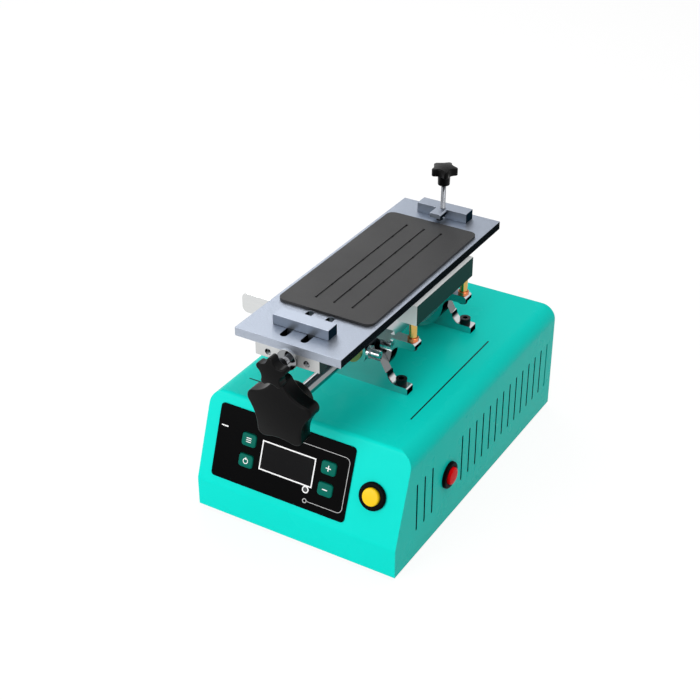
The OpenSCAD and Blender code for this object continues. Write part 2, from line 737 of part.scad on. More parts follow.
// Vacuum pump: motor, diaphragm head with two ports, and the saddle that holds it on the tray
motor_r = 14;
motor_len = 46;
pump_x = 30;
pump_y = 20;
pump_axis = 20;
head_size = [34, 30, 34];
port_r = 2;
port_len = 8;
saddle_w = 40;
saddle_len = 22;
saddle_t = 4;
head_front = pump_y - motor_len / 2 - head_size[1];
module pump_motor() color("#9c9fa3") translate([pump_x, pump_y, pump_axis + sheet_t]) {
    across(-motor_len / 2, motor_len / 2) circle(motor_r, $fn = fine);
    across(motor_len / 2, motor_len / 2 + saddle_t) circle(motor_r * half_share, $fn = small);
}
module pump_head() color("#2b2b2e") translate([pump_x, head_front, pump_axis + sheet_t]) difference() {
    union() {
        translate([-head_size[0] / 2, 0, -head_size[2] / 2]) cube(head_size);
        for (s = [-1, 1]) translate([s * head_size[0] / 4, head_size[1] / 2, head_size[2] / 2])
            cylinder(r = port_r, h = port_len, $fn = small);
    }
    for (s = [-1, 1]) translate([s * head_size[0] / 4, head_size[1] / 2, 0])
        cylinder(r = port_r * half_share, h = head_size[2], $fn = small);
}
module pump_bracket() color("#b4b8ba") translate([pump_x, pump_y, sheet_t]) difference() {
    translate([-saddle_w / 2, -saddle_len / 2, 0]) cube([saddle_w, saddle_len, pump_axis]);
    translate([0, 0, pump_axis]) across(-saddle_len, saddle_len) circle(motor_r, $fn = fine);
    for (s = [-1, 1]) translate([s * (saddle_w / 2), 0, saddle_t + pump_axis / 2])
        cube([2 * saddle_t, saddle_len + cut, pump_axis], center = true);
}

// Solenoid valve beside the pump head, with the hose from the head's port
valve = [18, 22, 28];
valve_x = pump_x - head_size[0] / 2 - valve[0] / 2 - 2 * gap;
valve_y = head_front + head_size[1] / 2;
port_top = sheet_t + pump_axis + head_size[2] / 2;
hose_r = 3;
hose_wall = 1;
hose_bend = (pump_x + head_size[0] / 4 - valve_x) / 2;
hose_seat = 2;
module air_valve() color("#3a3a3e") translate([valve_x, valve_y, sheet_t]) {
    translate([-valve[0] / 2, -valve[1] / 2, 0]) cube(valve);
    cylinder(r = port_r, h = port_top + port_len - sheet_t, $fn = small);
}
module air_hose() color("#d8dad6")
    translate([(valve_x + pump_x + head_size[0] / 4) / 2, valve_y, port_top + port_len]) {
    rotate([90, 0, 0]) rotate_extrude(angle = 180, $fn = fine) translate([hose_bend, 0]) difference() {
        circle(hose_r, $fn = small);
        circle(hose_r - hose_wall, $fn = small);
    }
    for (s = [-1, 1]) translate([s * hose_bend, 0, hose_seat - port_len]) difference() {
        cylinder(r = hose_r, h = port_len - hose_seat, $fn = small);
        translate([0, 0, -cut]) cylinder(r = hose_r - hose_wall, h = port_len + 2 * cut, $fn = small);
    }
}

// Rubber grommet in the deck under the heater box, for the table's leads and air line
grommet_lip = 2;
grommet_lip_t = 1.5;
grommet_bore = 4.5;
module cable_grommet() color("#1c1c1e") translate([grommet_x, grommet_y, deck]) rotate_extrude($fn = fine)
    polygon([[grommet_bore, -sheet_t - grommet_lip_t], [grommet_r + grommet_lip, -sheet_t - grommet_lip_t],
        [grommet_r + grommet_lip, -sheet_t], [grommet_r, -sheet_t], [grommet_r, 0],
            [grommet_r + grommet_lip, 0],
        [grommet_r + grommet_lip, grommet_lip_t], [grommet_bore, grommet_lip_t]]);

// Trestle bracket: flared foot, sloping sides and a round boss for the shaft
foot_fillet = 8;
side_share = 0.43;
side_slope = (bracket_half - bracket_top_half) * side_share / (bracket_top - bracket_foot_t);
fillet_x = bracket_top_half + side_slope * (bracket_top - bracket_foot_t - foot_fillet)
    + foot_fillet * sqrt(1 + side_slope * side_slope);
bush_r = 7;
foot_round = 1.6;
module bracket_outline() {
    difference() {
        union() {
            translate([-bracket_half, 0]) square([2 * bracket_half, bracket_foot_t - foot_round]);
            translate([foot_round - bracket_half, 0])
                square([2 * (bracket_half - foot_round), bracket_foot_t]);
            for (s = [-1, 1]) translate([s * (bracket_half - foot_round), bracket_foot_t - foot_round])
                circle(foot_round, $fn = small);
            polygon([[-fillet_x, bracket_foot_t], [fillet_x, bracket_foot_t],
                [fillet_x, bracket_foot_t + foot_fillet * half_share], [bracket_top_half, bracket_top],
                [-bracket_top_half, bracket_top], [-fillet_x, bracket_foot_t + foot_fillet * half_share]]);
            translate([0, axis_h]) circle(boss_r, $fn = fine);
        }
        for (s = [-1, 1]) scale([s, 1]) {
            translate([fillet_x, bracket_foot_t + foot_fillet]) circle(foot_fillet, $fn = fine);
            polygon([[bracket_top_half, bracket_top],
                [bracket_top_half + side_slope * (bracket_top - bracket_foot_t - foot_fillet),
                bracket_foot_t + foot_fillet], [fillet_x + foot_fillet, bracket_foot_t + foot_fillet],
                [fillet_x + foot_fillet, bracket_top]]);
        }
    }
}
module bracket(y0, out) difference() {
    union() {
        across(y0, y0 + bracket_t) translate([0, deck]) bracket_outline();
        translate([0, 0, axis_z]) across(out < 0 ? y0 - boss_out : y0,
            out < 0 ? y0 + bracket_t : y0 + bracket_t + boss_out)
            circle(boss_r, $fn = fine);
    }
    translate([0, y0 + bracket_t / 2, axis_z]) to_front()
        cylinder(r = bush_r, h = bracket_t + 4 * boss_out, center = true, $fn = fine);
    for (s = [-1, 1]) translate([s * bracket_screw_x, y0 + bracket_t / 2, deck]) {
        cylinder(r = m5_r + free_hole, h = 4 * bracket_foot_t, center = true, $fn = small);
        translate([0, 0, bracket_foot_t])
            cylinder(r = m5_r * head_share + fit / 2, h = foot_fillet, $fn = small);
    }
}
lock_r = 2.9;
lock_len = 22;
lock_tip = shaft_r + gap;
washer_r = 5.2;
washer_t = 1.8;
module front_bracket() color("#c9ced0") difference() {
    bracket(bracket_front, -1);
    translate([0, bracket_front, axis_z]) rotate([0, 90, 0]) {
        cylinder(r = lock_r + fit / 2, h = boss_r + cut, $fn = small);
        translate([0, 0, boss_r]) cylinder(r = washer_r + fit, h = lock_len - boss_r, $fn = small);
    }
}
module rear_bracket() color("#c9ced0") bracket(bracket_rear, 1);
bracket_head = 5;
module bracket_screws() color("#1b1b1d") for (s = [-1, 1], y = bracket_screw_y)
    translate([s * bracket_screw_x, y, deck]) {
    translate([0, 0, bracket_foot_t])
        socket_screw(m5_r, bracket_head, bracket_foot_t + sheet_t + bracket_head);
    translate([0, 0, -sheet_t - screw_nut_t - cut]) hex_nut(m5_r, screw_nut_t + cut);
}
// Plain bronze bushes with an outer flange
bush_flange_r = 9;
bush_flange_t = 1.5;
module bush(len) difference() {
    union() {
        translate([0, 0, -bush_flange_t * half_share])
            cylinder(r = bush_r, h = len + bush_flange_t * half_share, $fn = fine);
        translate([0, 0, -bush_flange_t]) cylinder(r = bush_flange_r, h = bush_flange_t, $fn = fine);
    }
    translate([0, 0, -bush_flange_t - cut])
        cylinder(r = shaft_r + run_fit, h = len + bush_flange_t + 2 * cut, $fn = fine);
}
module bearing_bushes() color("#b08d4f") difference() {
    union() {
        translate([0, bracket_front - boss_out, axis_z]) rotate([-90, 0, 0]) bush(bracket_t + boss_out);
        translate([0, bracket_rear + bracket_t + boss_out, axis_z]) rotate([90, 0, 0])
            bush(bracket_t + boss_out);
    }
    translate([0, bracket_front, axis_z]) rotate([0, 90, 0])
        cylinder(r = lock_r + fit / 2, h = boss_r + cut, $fn = small);
}
// Cross screw that locks the shaft, with its black washer against the boss
module lock_screw() color("#c4c7c9") translate([0, bracket_front, axis_z]) rotate([0, 90, 0]) {
    difference() {
        translate([0, 0, lock_tip]) cylinder(r = lock_r, h = lock_len - lock_tip, $fn = small);
        translate([0, 0, lock_len - washer_t])
            cylinder(r = lock_r * half_share, h = washer_t + cut, $fn = 6);
    }
    translate([0, 0, boss_r]) difference() {
        cylinder(r = washer_r, h = washer_t, $fn = small);
        translate([0, 0, -cut]) cylinder(r = lock_r, h = washer_t + 2 * cut, $fn = small);
    }
}

// Five lobed star outline: round tips joined by arcs that run into them without a corner
tip_share = 0.2;
valley_share = 0.75;
lobes = 5;
module star_outline(r) {
    tip_r = r * tip_share;
    tip_at = r - tip_r;
    k = tip_r - r * valley_share;
    valley_at = (tip_at * tip_at - k * k) / (2 * (k + tip_at * cos(180 / lobes)));
    valley_r = valley_at - r * valley_share;
    difference() {
        polygon([for (i = [0 : 2 * lobes - 1]) let (a = 90 + i * 180 / lobes,
            d = i % 2 == 0 ? tip_at : valley_at)
            [d * cos(a), d * sin(a)]]);
        for (i = [0 : lobes - 1]) rotate([0, 0, 90 + (i + half_share) * 360 / lobes])
            translate([valley_at, 0])
            circle(valley_r + blend, $fn = fine);
    }
    for (i = [0 : lobes - 1]) rotate([0, 0, 90 + i * 360 / lobes]) translate([tip_at, 0])
        circle(tip_r, $fn = small);
}
// Star knob standing on its hub, with stepped edges and a bore for its shaft
edge_share = 0.05;
module star_knob(r, star_t, hub_r, hub_len, bore_r, bore_depth) {
    edge = r * edge_share;
    difference() {
        union() {
            translate([0, 0, hub_len]) linear_extrude(star_t) star_outline(r - edge);
            translate([0, 0, hub_len + edge]) linear_extrude(star_t - 2 * edge) star_outline(r);
            cylinder(r = hub_r, h = hub_len + star_t * half_share, $fn = fine);
        }
        translate([0, 0, -cut]) cylinder(r = bore_r, h = bore_depth + cut, $fn = fine);
    }
}

// Tilt shaft, turned with its knob, barrel and cradle
knob_face = front - tilt_knob_out;
shaft_front = knob_face + big_star_t;
collar_t = 4;
collar_r = 9;
shaft_rear = bracket_rear + bracket_t + boss_out + bush_flange_t + gap + collar_t;
module tilt_shaft() color("#c8ccd0") translate([0, 0, axis_z]) {
    across(shaft_front, shaft_rear) circle(shaft_r, $fn = fine);
    across(shaft_rear - collar_t, shaft_rear) circle(collar_r, $fn = fine);
}
module tilt_knob() color("#17171a") translate([0, shaft_front + big_hub_len, axis_z]) to_front()
    star_knob(big_knob_r, big_star_t, big_hub_r, big_hub_len, shaft_r, big_hub_len);

// Cradle plate: disc round the shaft, saddle cut and two wings with rounded arches under them
arch_r = 8;
arch_x = sqrt((disc_r + arch_r) * (disc_r + arch_r) - (wing_top - wing_t - arch_r) *
    (wing_top - wing_t - arch_r));
arch_z = wing_top - wing_t - arch_r;
saddle_z_share = 0.66;
saddle_z = wing_top * saddle_z_share;
wing_slope = 2;
module cradle_outline() {
    difference() {
        circle(disc_r, $fn = fine);
        translate([-disc_r, saddle_z]) square([2 * disc_r, disc_r]);
    }
    for (s = [-1, 1]) scale([s, 1]) {
        difference() {
            polygon([[disc_r * half_share, arch_z], [disc_r - wing_slope, saddle_z], [disc_r, wing_top],
                [wing_half - foot_round, wing_top], [wing_half, wing_top - foot_round],
                [wing_half, wing_top - wing_t + foot_round], [wing_half - foot_round, wing_top - wing_t],
                [arch_x, wing_top - wing_t], [arch_x, arch_z]]);
            translate([arch_x, arch_z]) circle(arch_r, $fn = fine);
        }
    }
}
post_screw_r = m4_r;
module cradle(y0, post_y) difference() {
    translate([0, 0, axis_z]) across(y0, y0 + cradle_t) cradle_outline();
    translate([0, y0 + cradle_t / 2, axis_z]) to_front()
        cylinder(r = shaft_r, h = 2 * cradle_t, center = true, $fn = fine);
    for (s = [-1, 1]) translate([s * post_x, post_y, wing_z])
        cylinder(r = post_screw_r + free_hole / 2, h = 4 * wing_t, center = true, $fn = small);
}
module cradle_plates() color("#c9ced0") {
    cradle(cradle_front, post_front);
    cradle(cradle_rear, post_rear);
}
// Barrel that joins the two cradle plates on the shaft, with a flange at each end
barrel_out = 15;
barrel_flange = 21;
barrel_flange_t = 5;
module cradle_barrel() color("#8e9498") translate([0, 0, axis_z]) difference() {
    union() {
        across(cradle_front + cradle_t, cradle_rear) circle(barrel_out, $fn = fine);
        for (y = [cradle_front + cradle_t, cradle_rear - barrel_flange_t])
            across(y, y + barrel_flange_t) difference() {
                circle(barrel_flange, $fn = fine);
                translate([-barrel_flange, saddle_z]) square([2 * barrel_flange, barrel_flange]);
            }
    }
    across(cradle_front, cradle_rear + cradle_t) circle(shaft_r, $fn = fine);
}

// Brass posts from the wings to the heater box rim, their copper rings and the screws below
module post_places() for (s = [-1, 1], y = [post_front, post_rear]) translate([s * post_x, y, wing_z])
    children();
post_bore = 9;
rim_low = table_low - hood_t;
module brass_posts() color("#c9a24a") post_places() difference() {
    cylinder(r = post_r, h = rim_low - wing_z, $fn = small);
    translate([0, 0, -cut]) cylinder(r = post_screw_r, h = post_bore + cut, $fn = small);
}
ring_waist = 0.4;
module copper_rings() color("#c8683c") post_places() difference() {
    rotate_extrude($fn = small) polygon([[0, 0], [ring_r - ring_waist, 0], [ring_r, ring_waist],
        [ring_r, ring_h - ring_waist], [ring_r - ring_waist, ring_h], [0, ring_h]]);
    translate([0, 0, -cut]) cylinder(r = post_r, h = ring_h + 2 * cut, $fn = small);
}
post_head = 2.2;
module post_screws() color("#1b1b1d") post_places() translate([0, 0, -wing_t]) mirror([0, 0, 1])
    pan_screw(post_screw_r, post_head, wing_t + post_bore - cut);

// Heater box: folded pan with an inward rim under the table
lead_hole_r = 6;
module heater_hood() color("#b9bfc3") difference() {
    translate([-hood_half, hood_front, hood_low]) cube([2 * hood_half, hood_rear - hood_front, hood_h]);
    translate([hood_t - hood_half, hood_front + hood_t, hood_low + hood_t])
        cube([2 * (hood_half - hood_t), hood_rear - hood_front - 2 * hood_t, hood_h - 2 * hood_t]);
    translate([rim_w - hood_half, hood_front + rim_w, hood_low + 2 * hood_t])
        cube([2 * (hood_half - rim_w), hood_rear - hood_front - 2 * rim_w, hood_h]);
    for (s = [-1, 1], y = [post_front, post_rear]) translate([s * post_x, y, hood_low])
        cylinder(r = post_r + fit / 2, h = 4 * hood_t, center = true, $fn = small);
    translate([grommet_x, grommet_y, hood_low])
        cylinder(r = lead_hole_r, h = 4 * hood_t, center = true, $fn = fine);
}
block_clear = 1.6;
heater_low = table_low - heater_t;
cartridge_r = 4;
cartridge_x = [-20, 20];
air_port_r = 3;
heater_front = hood_front + rim_w + block_clear;
heater_rear = hood_rear - rim_w - block_clear;
module heater_block() color("#a9adb1") difference() {
    translate([rim_w + block_clear - hood_half, heater_front, heater_low])
        cube([2 * (hood_half - rim_w - block_clear), heater_rear - heater_front, heater_t]);
    for (x = cartridge_x) translate([x, heater_front - cut, (heater_low + table_low) / 2])
        rotate([-90, 0, 0])
        cylinder(r = cartridge_r, h = heater_rear - heater_front, $fn = small);
    translate([grommet_x, grommet_y, heater_low - cut])
        cylinder(r = air_port_r, h = heater_t + 2 * cut, $fn = small);
}
pad_gap = 0.3;
module insulation_pad() color("#d9d2bd") difference() {
    translate([rim_w + block_clear - hood_half, heater_front, hood_low + hood_t + pad_gap])
        cube([2 * (hood_half - rim_w - block_clear), heater_rear - heater_front,
            heater_low - hood_low - hood_t - 2 * pad_gap]);
    translate([grommet_x, grommet_y, hood_low]) cylinder(r = lead_hole_r, h = hood_h, $fn = small);
}

// Work table: slots for the jaws, tapped face and air holes under the mat
slot_front_in = 6.5;
slot_rear = table_front + jaw_back + jaw_d + jaw_close + slot_w / 2;
rear_slot_w = 5;
gib_d = 5;
rear_jaw_y = table_rear - rear_jaw_in;
rear_jaw_open = 2;
rear_jaw_close = 6;
gib_y = rear_jaw_y + jaw_d / 2;
rear_slot_front = gib_y - gib_d / 2 - rear_jaw_close - rear_slot_w / 2 - gap;
rear_slot_rear = gib_y + gib_d / 2 + rear_jaw_open + rear_slot_w / 2 + gap;
mat_in = 46;
mat_front = table_front + mat_in;
air_rows = 7;
air_hole_r = 1.1;
air_pitch_x = 15;
air_pitch_y = 22;
module air_holes(z, h, r) for (i = [-1 : 1], j = [0 : air_rows - 1])
    translate([i * air_pitch_x, mat_front + mat_len / 2 + (j - (air_rows - 1) / 2) * air_pitch_y, z])
        cylinder(r = r, h = h, $fn = small);
groove_w = 1.6;
groove_d = 0.8;
module work_table() color("#c7cdd6") difference() {
    translate([-plate_w / 2, table_front, table_low]) cube([plate_w, plate_len, plate_t]);
    for (s = [-1, 1]) translate([s * slot_x, (table_front + slot_front_in + slot_rear) / 2,
        table_low - cut])
        linear_extrude(plate_t + 2 * cut) rotate([0, 0, 90])
            slot_outline(slot_rear - table_front - slot_front_in, slot_w);
    translate([0, (rear_slot_front + rear_slot_rear) / 2, table_low - cut])
        linear_extrude(plate_t + 2 * cut)
        rotate([0, 0, 90]) slot_outline(rear_slot_rear - rear_slot_front, rear_slot_w);
    translate([grommet_x, grommet_y, table_low - cut])
        cylinder(r = air_port_r, h = plate_t + 2 * cut, $fn = small);
    for (i = [-1 : 1]) translate([i * air_pitch_x, mat_front + mat_len / 2, table_top])
        cube([2 * air_hole_r, (air_rows - 1) * air_pitch_y, 2 * groove_w], center = true);
    translate([grommet_x, grommet_y - air_hole_r, table_top - groove_w])
        cube([air_pitch_x - grommet_x, 2 * air_hole_r, groove_w + cut]);
}
mat_r = 6;
module silicone_mat() color("#242426") difference() {
    translate([0, mat_front + mat_len / 2, table_top]) linear_extrude(mat_t)
        rounded_rect(mat_w, mat_len, mat_r);
    air_holes(table_top - cut, mat_t + 2 * cut, air_hole_r);
    for (i = [-1 : 1]) translate([i * air_pitch_x, mat_front + mat_len / 2, table_top + mat_t])
        cube([groove_w, (air_rows - 1) * air_pitch_y, 2 * groove_d], center = true);
}

// Front block and the rod support carry the clamp screw and two guide rods under the table
block_d = 10;
screw_r = 3;
rod_guide_r = 2.5;
rod_z = table_low - block_h / 2 - gap;
screw_z = table_low - screw_drop;
support_in = 70;
support_y = table_front + support_in;
support_d = 7;
support_half = 22;
flange_ring_r = 8;
flange_ring_t = 1.2;
rod_recess = 1.5;
module front_block() color("#c9ced0") difference() {
    union() {
        translate([-block_half, table_front, table_low - block_h]) cube([2 * block_half, block_d, block_h]);
        translate([0, 0, screw_z]) across(table_front - flange_ring_t, table_front)
            circle(flange_ring_r, $fn = fine);
    }
    translate([0, 0, screw_z]) across(table_front - block_d, table_front + 2 * block_d)
        circle(screw_r + run_fit, $fn = fine);
    for (s = [-1, 1]) translate([s * rod_x, 0, rod_z])
        across(table_front - cut, table_front + block_d + cut)
        circle(rod_guide_r, $fn = fine);
}
module guide_rods() color("#c8ccd0") difference() {
    for (s = [-1, 1]) translate([s * rod_x, 0, rod_z])
        across(table_front + rod_recess, support_y + support_d)
        circle(rod_guide_r, $fn = fine);
    for (s = [-1, 1]) translate([s * rod_x, 0, rod_z]) across(table_front, table_front + 2 * rod_recess)
        circle(rod_guide_r * half_share, $fn = 6);
}
module rod_support() color("#a9adb1") difference() {
    translate([-support_half, support_y, table_low - block_h]) cube([2 * support_half, support_d, block_h]);
    for (s = [-1, 1]) translate([s * rod_x, 0, rod_z]) across(support_y - cut, support_y + support_d + cut)
        circle(rod_guide_r, $fn = fine);
    translate([0, 0, screw_z]) across(support_y - cut, support_y + support_d + cut)
        circle(screw_r + run_fit, $fn = fine);
}
// Clamp screw with its knob in front and a collar behind the front block
knob_gap = 5.5;
clamp_hub = min(table_front - knob_gap, knob_face + small_hub_len - gap);
screw_collar_t = 1.5;
screw_collar_r = 4;
module clamp_screw() color("#b9bdc1") translate([0, 0, screw_z]) {
    across(clamp_hub - small_hub_len, support_y + support_d + cut) circle(screw_r, $fn = fine);
    across(table_front + block_d + run_fit, table_front + block_d + run_fit + screw_collar_t)
        circle(screw_collar_r, $fn = small);
}
module clamp_knob() color("#17171a") translate([0, clamp_hub, screw_z]) to_front()
    star_knob(small_knob_r, small_star_t, small_hub_r, small_hub_len, screw_r, small_hub_len);

// Front jaw with two tongues through the table slots, and the threaded carriage below
slide_gap = 0.1;
jaw_y = table_front + jaw_back;
tongue_w = slot_w - 2 * fit;
tongue_d = jaw_d - 2 * fit;
tongue_sink = 1;
module front_jaw() color("#c7cdd6") {
    translate([-jaw_w / 2, jaw_y, table_top + slide_gap]) cube([jaw_w, jaw_d, jaw_h - slide_gap]);
    for (s = [-1, 1]) translate([s * slot_x - tongue_w / 2, jaw_y + fit, carriage_top])
        cube([tongue_w, tongue_d, table_top - carriage_top + tongue_sink]);
}
carriage_half = 20;
carriage_top = table_low - 2 * slide_gap;
module jaw_carriage() color("#a9adb1") difference() {
    translate([-carriage_half, jaw_y, table_low - block_h])
        cube([2 * carriage_half, jaw_d, carriage_top - table_low + block_h]);
    translate([0, 0, screw_z]) across(jaw_y - cut, jaw_y + jaw_d + cut)
        circle(screw_r + run_fit, $fn = fine);
    for (s = [-1, 1]) translate([s * rod_x, 0, rod_z]) across(jaw_y - cut, jaw_y + jaw_d + cut)
        circle(rod_guide_r + run_fit, $fn = fine);
}

// Rear jaw with its nose over the work, kept down by a gib under the table
pad_r = 3.6;
pad_t = 1.6;
pad_lift = 2.1;
nose_clear = gap;
press_y = rear_jaw_y + rod_r;
nose_floor = table_top + pad_t + pad_lift + 2 * nose_clear;
nose_chamfer = 1.6;
module rear_jaw() color("#c7cdd6") difference() {
    union() {
        translate([-rear_jaw_w / 2, rear_jaw_y, table_top + slide_gap])
            cube([rear_jaw_w, jaw_d, jaw_h - slide_gap]);
        difference() {
            translate([-nose_w / 2, rear_jaw_y - nose_len, nose_floor])
                cube([nose_w, nose_len + cut, table_top + jaw_h - nose_floor]);
            translate([nose_w / 2, rear_jaw_y, table_top + jaw_h]) rotate([0, 45, 0])
                cube([nose_chamfer, 4 * nose_len, nose_chamfer], center = true);
        }
        translate([-(rear_slot_w / 2 - fit), gib_y - gib_d / 2, table_low - slide_gap])
            cube([rear_slot_w - 2 * fit, gib_d, plate_t + slide_gap + tongue_sink]);
    }
    translate([0, press_y, table_top]) cylinder(r = rod_r + run_fit, h = jaw_h + 2 * cut, $fn = small);
    translate([0, press_y, table_top - cut])
        cylinder(r = pad_r + gap, h = nose_floor - table_top + cut, $fn = small);
}
gib_w = 18;
gib_t = 4;
module jaw_gib() color("#a9adb1") translate([-gib_w / 2, gib_y - gib_d, table_low - slide_gap - gib_t])
    cube([gib_w, 2 * gib_d, gib_t]);
// Upright clamp screw with its knob, and the pad that its tip presses on the table
rod_tip = 0.6;
press_hub = table_top + rod_up;
module press_rod() color("#b9bdc1") translate([0, press_y, table_top + pad_t - rod_tip])
    cylinder(r = rod_r, h = rod_up - pad_t + rod_tip + small_hub_len, $fn = small);
module press_knob() color("#17171a") translate([0, press_y, press_hub])
    star_knob(small_knob_r, small_star_t, small_hub_r, small_hub_len, rod_r, small_hub_len);
module press_pad() color("#8e9498") translate([0, press_y, table_top]) difference() {
    cylinder(r = pad_r, h = pad_t, $fn = small);
    translate([0, 0, pad_t - rod_tip - run_fit])
        cylinder(r = rod_r + run_fit, h = rod_tip + cut, $fn = small);
}

// Lever on the left that locks the carriage's guide rod, with its lug under the table and its pin
lever_y = table_front + lever_back;
lug_w = 14;
lug_d = 9;
lug_h = 12;
pin_r = 2;
pin_x = -plate_w / 2 + lug_w / 2;
pin_drop = 7;
pin_z = table_low - pin_drop;
lever_gap = 1.4;
lever_top = table_low - 2 * gap;
lever_eye_r = 4.2;
lever_left = -plate_w / 2 - lever_out;
lever_right = -plate_w / 2 - lever_gap;
module lever_lug() color("#a9adb1") difference() {
    translate([-plate_w / 2, lever_y - lug_d / 2, table_low - lug_h]) cube([lug_w, lug_d, lug_h]);
    translate([-plate_w / 2 - cut, lever_y - lever_t / 2 - fit, table_low - lug_h - cut])
        cube([lug_w + 2 * cut, lever_t + 2 * fit, lug_h + cut]);
    translate([pin_x, lever_y, pin_z]) to_front()
        cylinder(r = pin_r, h = 2 * lug_d, center = true, $fn = small);
}
module lock_lever() color("#e4e6e7") difference() {
    across(lever_y - lever_t / 2, lever_y + lever_t / 2) {
        translate([(lever_left + lever_right) / 2, lever_top - lever_h / 2])
            rounded_rect(lever_right - lever_left, lever_h, lever_corner_r);
        translate([pin_x, pin_z]) circle(lever_eye_r, $fn = fine);
        polygon([[pin_x, pin_z + lever_eye_r], [lever_right - lever_corner_r, lever_top - gap],
            [lever_right - lever_corner_r, lever_top - lever_h + lever_corner_r],
                [pin_x, pin_z - lever_eye_r]]);
    }
    translate([pin_x, lever_y, pin_z]) to_front()
        cylinder(r = pin_r + run_fit, h = 2 * lug_d, center = true, $fn = small);
}
module lever_pin() color("#9aa0a4") translate([pin_x, lever_y, pin_z]) to_front()
    cylinder(r = pin_r, h = lug_d + 2 * foot_chamfer, center = true, $fn = small);

housing_cover();
base_tray();
rubber_feet();
foot_screws();
case_screws();
rear_panel();
mains_inlet();
control_overlay();
display_window();
display_module();
control_board();
output_lamp();
set_key();
power_key();
plus_key();
minus_key();
yellow_bezel();
yellow_cap();
red_bezel();
red_cap();
button_nuts();
power_supply();
pump_motor();
pump_head();
pump_bracket();
air_valve();
air_hose();
cable_grommet();
front_bracket();
rear_bracket();
bracket_screws();
bearing_bushes();
lock_screw();
tilt_shaft();
tilt_knob();
cradle_plates();
cradle_barrel();
brass_posts();
copper_rings();
post_screws();
heater_hood();
heater_block();
insulation_pad();
work_table();
silicone_mat();
front_block();
guide_rods();
rod_support();
clamp_screw();
clamp_knob();
front_jaw();
jaw_carriage();
rear_jaw();
jaw_gib();
press_rod();
press_knob();
press_pad();
lever_lug();
lock_lever();
lever_pin();
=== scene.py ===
import json
import math

import bmesh
import bpy
from bpy.props import FloatProperty, FloatVectorProperty, PointerProperty
from mathutils import Matrix, Vector


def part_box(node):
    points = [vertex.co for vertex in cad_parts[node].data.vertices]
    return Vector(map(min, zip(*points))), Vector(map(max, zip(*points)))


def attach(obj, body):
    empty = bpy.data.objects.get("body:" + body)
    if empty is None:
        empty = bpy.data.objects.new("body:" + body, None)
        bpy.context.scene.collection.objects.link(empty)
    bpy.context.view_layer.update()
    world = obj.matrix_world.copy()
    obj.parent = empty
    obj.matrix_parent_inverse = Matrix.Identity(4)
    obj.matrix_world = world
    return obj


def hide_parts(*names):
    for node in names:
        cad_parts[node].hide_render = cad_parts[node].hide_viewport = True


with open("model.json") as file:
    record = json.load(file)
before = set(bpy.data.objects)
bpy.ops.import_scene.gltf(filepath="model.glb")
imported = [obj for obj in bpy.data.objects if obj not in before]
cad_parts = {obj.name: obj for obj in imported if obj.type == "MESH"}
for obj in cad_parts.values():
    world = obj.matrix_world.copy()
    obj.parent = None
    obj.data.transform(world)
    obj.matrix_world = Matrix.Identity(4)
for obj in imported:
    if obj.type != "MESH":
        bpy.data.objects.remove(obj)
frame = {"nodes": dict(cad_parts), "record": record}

bl_info = {
    "name": "Screen separator looks",
    "version": (1, 0, 0),
    "blender": (4, 5, 0),
    "location": "View3D > Sidebar > Separator",
    "description": "Finishes and moulded pieces of a heated screen separator on its tilting cradle",
    "category": "Object",
}

MM = 0.001
NODES = frame["nodes"]
COVER_LOW, COVER_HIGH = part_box("housing_cover")
SMOOTH_ANGLE = math.radians(32)
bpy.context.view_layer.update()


# Values that a user would change
def colour(name, value, text):
    """A colour property in scene linear values."""
    return FloatVectorProperty(name=name, description=text, subtype="COLOR", size=3, min=0, max=1,
                               default=value)


def length(name, value, text):
    """A length property, given in millimetres and kept in metres."""
    return FloatProperty(name=name, description=text, unit="LENGTH", default=value * MM, min=0)


class SeparatorColours(bpy.types.PropertyGroup):
    coat: colour("Housing coat", (0.004, 0.690, 0.590), "Powder coat of the folded housing")
    overlay: colour("Overlay", (0.0020, 0.0020, 0.0022), "Film over the raked control face")
    key: colour("Keys", (0.001, 0.125, 0.092), "Green of the four key caps")
    yellow: colour("Yellow cap", (0.900, 0.560, 0.010), "Cap of the button on the raked face")
    red: colour("Red cap", (0.840, 0.003, 0.005), "Cap of the button on the right side")
    table: colour("Table", (0.345, 0.380, 0.445), "Milled alloy of the table and jaws")
    steel: colour("Bright steel", (0.620, 0.640, 0.650), "Polished steel of the trestles and cradle")
    # Painted shade: a dark tone for the side faces of the metal pieces that stands in for the dark
    # reflections and shade on those sides.
    painted_flank: colour("Dark flanks", (0.014, 0.019, 0.022), "Blackened side edges of the metal pieces")
    brass: colour("Brass", (0.560, 0.370, 0.110), "Turned posts under the heater box")
    copper: colour("Copper", (0.640, 0.200, 0.080), "Rings at the feet of the posts")
    knob: colour("Knobs", (0.0020, 0.0020, 0.0022), "Phenolic star knobs")
    mat: colour("Mat", (0.034, 0.034, 0.035), "Silicone mat on the table")


class SeparatorSizes(bpy.types.PropertyGroup):
    rake_run: length("Rake run", 24, "How far the raked face leans back")
    kick: length("Kick height", 24, "Height of the upright kick")
    ease: length("Eased edge", 0.35, "Width of the eased edges of the metal pieces")
    print_t: length("Print thickness", 0.06, "Thickness of the printed lines on the overlay")
    line_w: length("Printed line", 0.45, "Width of the thin printed line")
    frame_w: length("Window frame", 1.0, "Width of the white line round the window")
    knob_round: length("Knob rounding", 1.5, "Rounding of the large knob's rim")
    thread_depth: length("Thread depth", 0.45, "Depth of the threads on the two clamp screws")


def colours():
    """The colours that are set in the scene."""
    return bpy.context.scene.separator_colours


def sizes():
    """The sizes that are set in the scene."""
    return bpy.context.scene.separator_sizes


# Shader helpers
def new_node(tree, kind, settings=None, **inputs):
    """Adds a node, sets its attributes and the values of its named sockets."""
    node = tree.nodes.new(kind)
    for key, value in (settings or {}).items():
        setattr(node, key, value)
    for key, value in inputs.items():
        node.inputs[key.replace("_", " ")].default_value = value
    return node


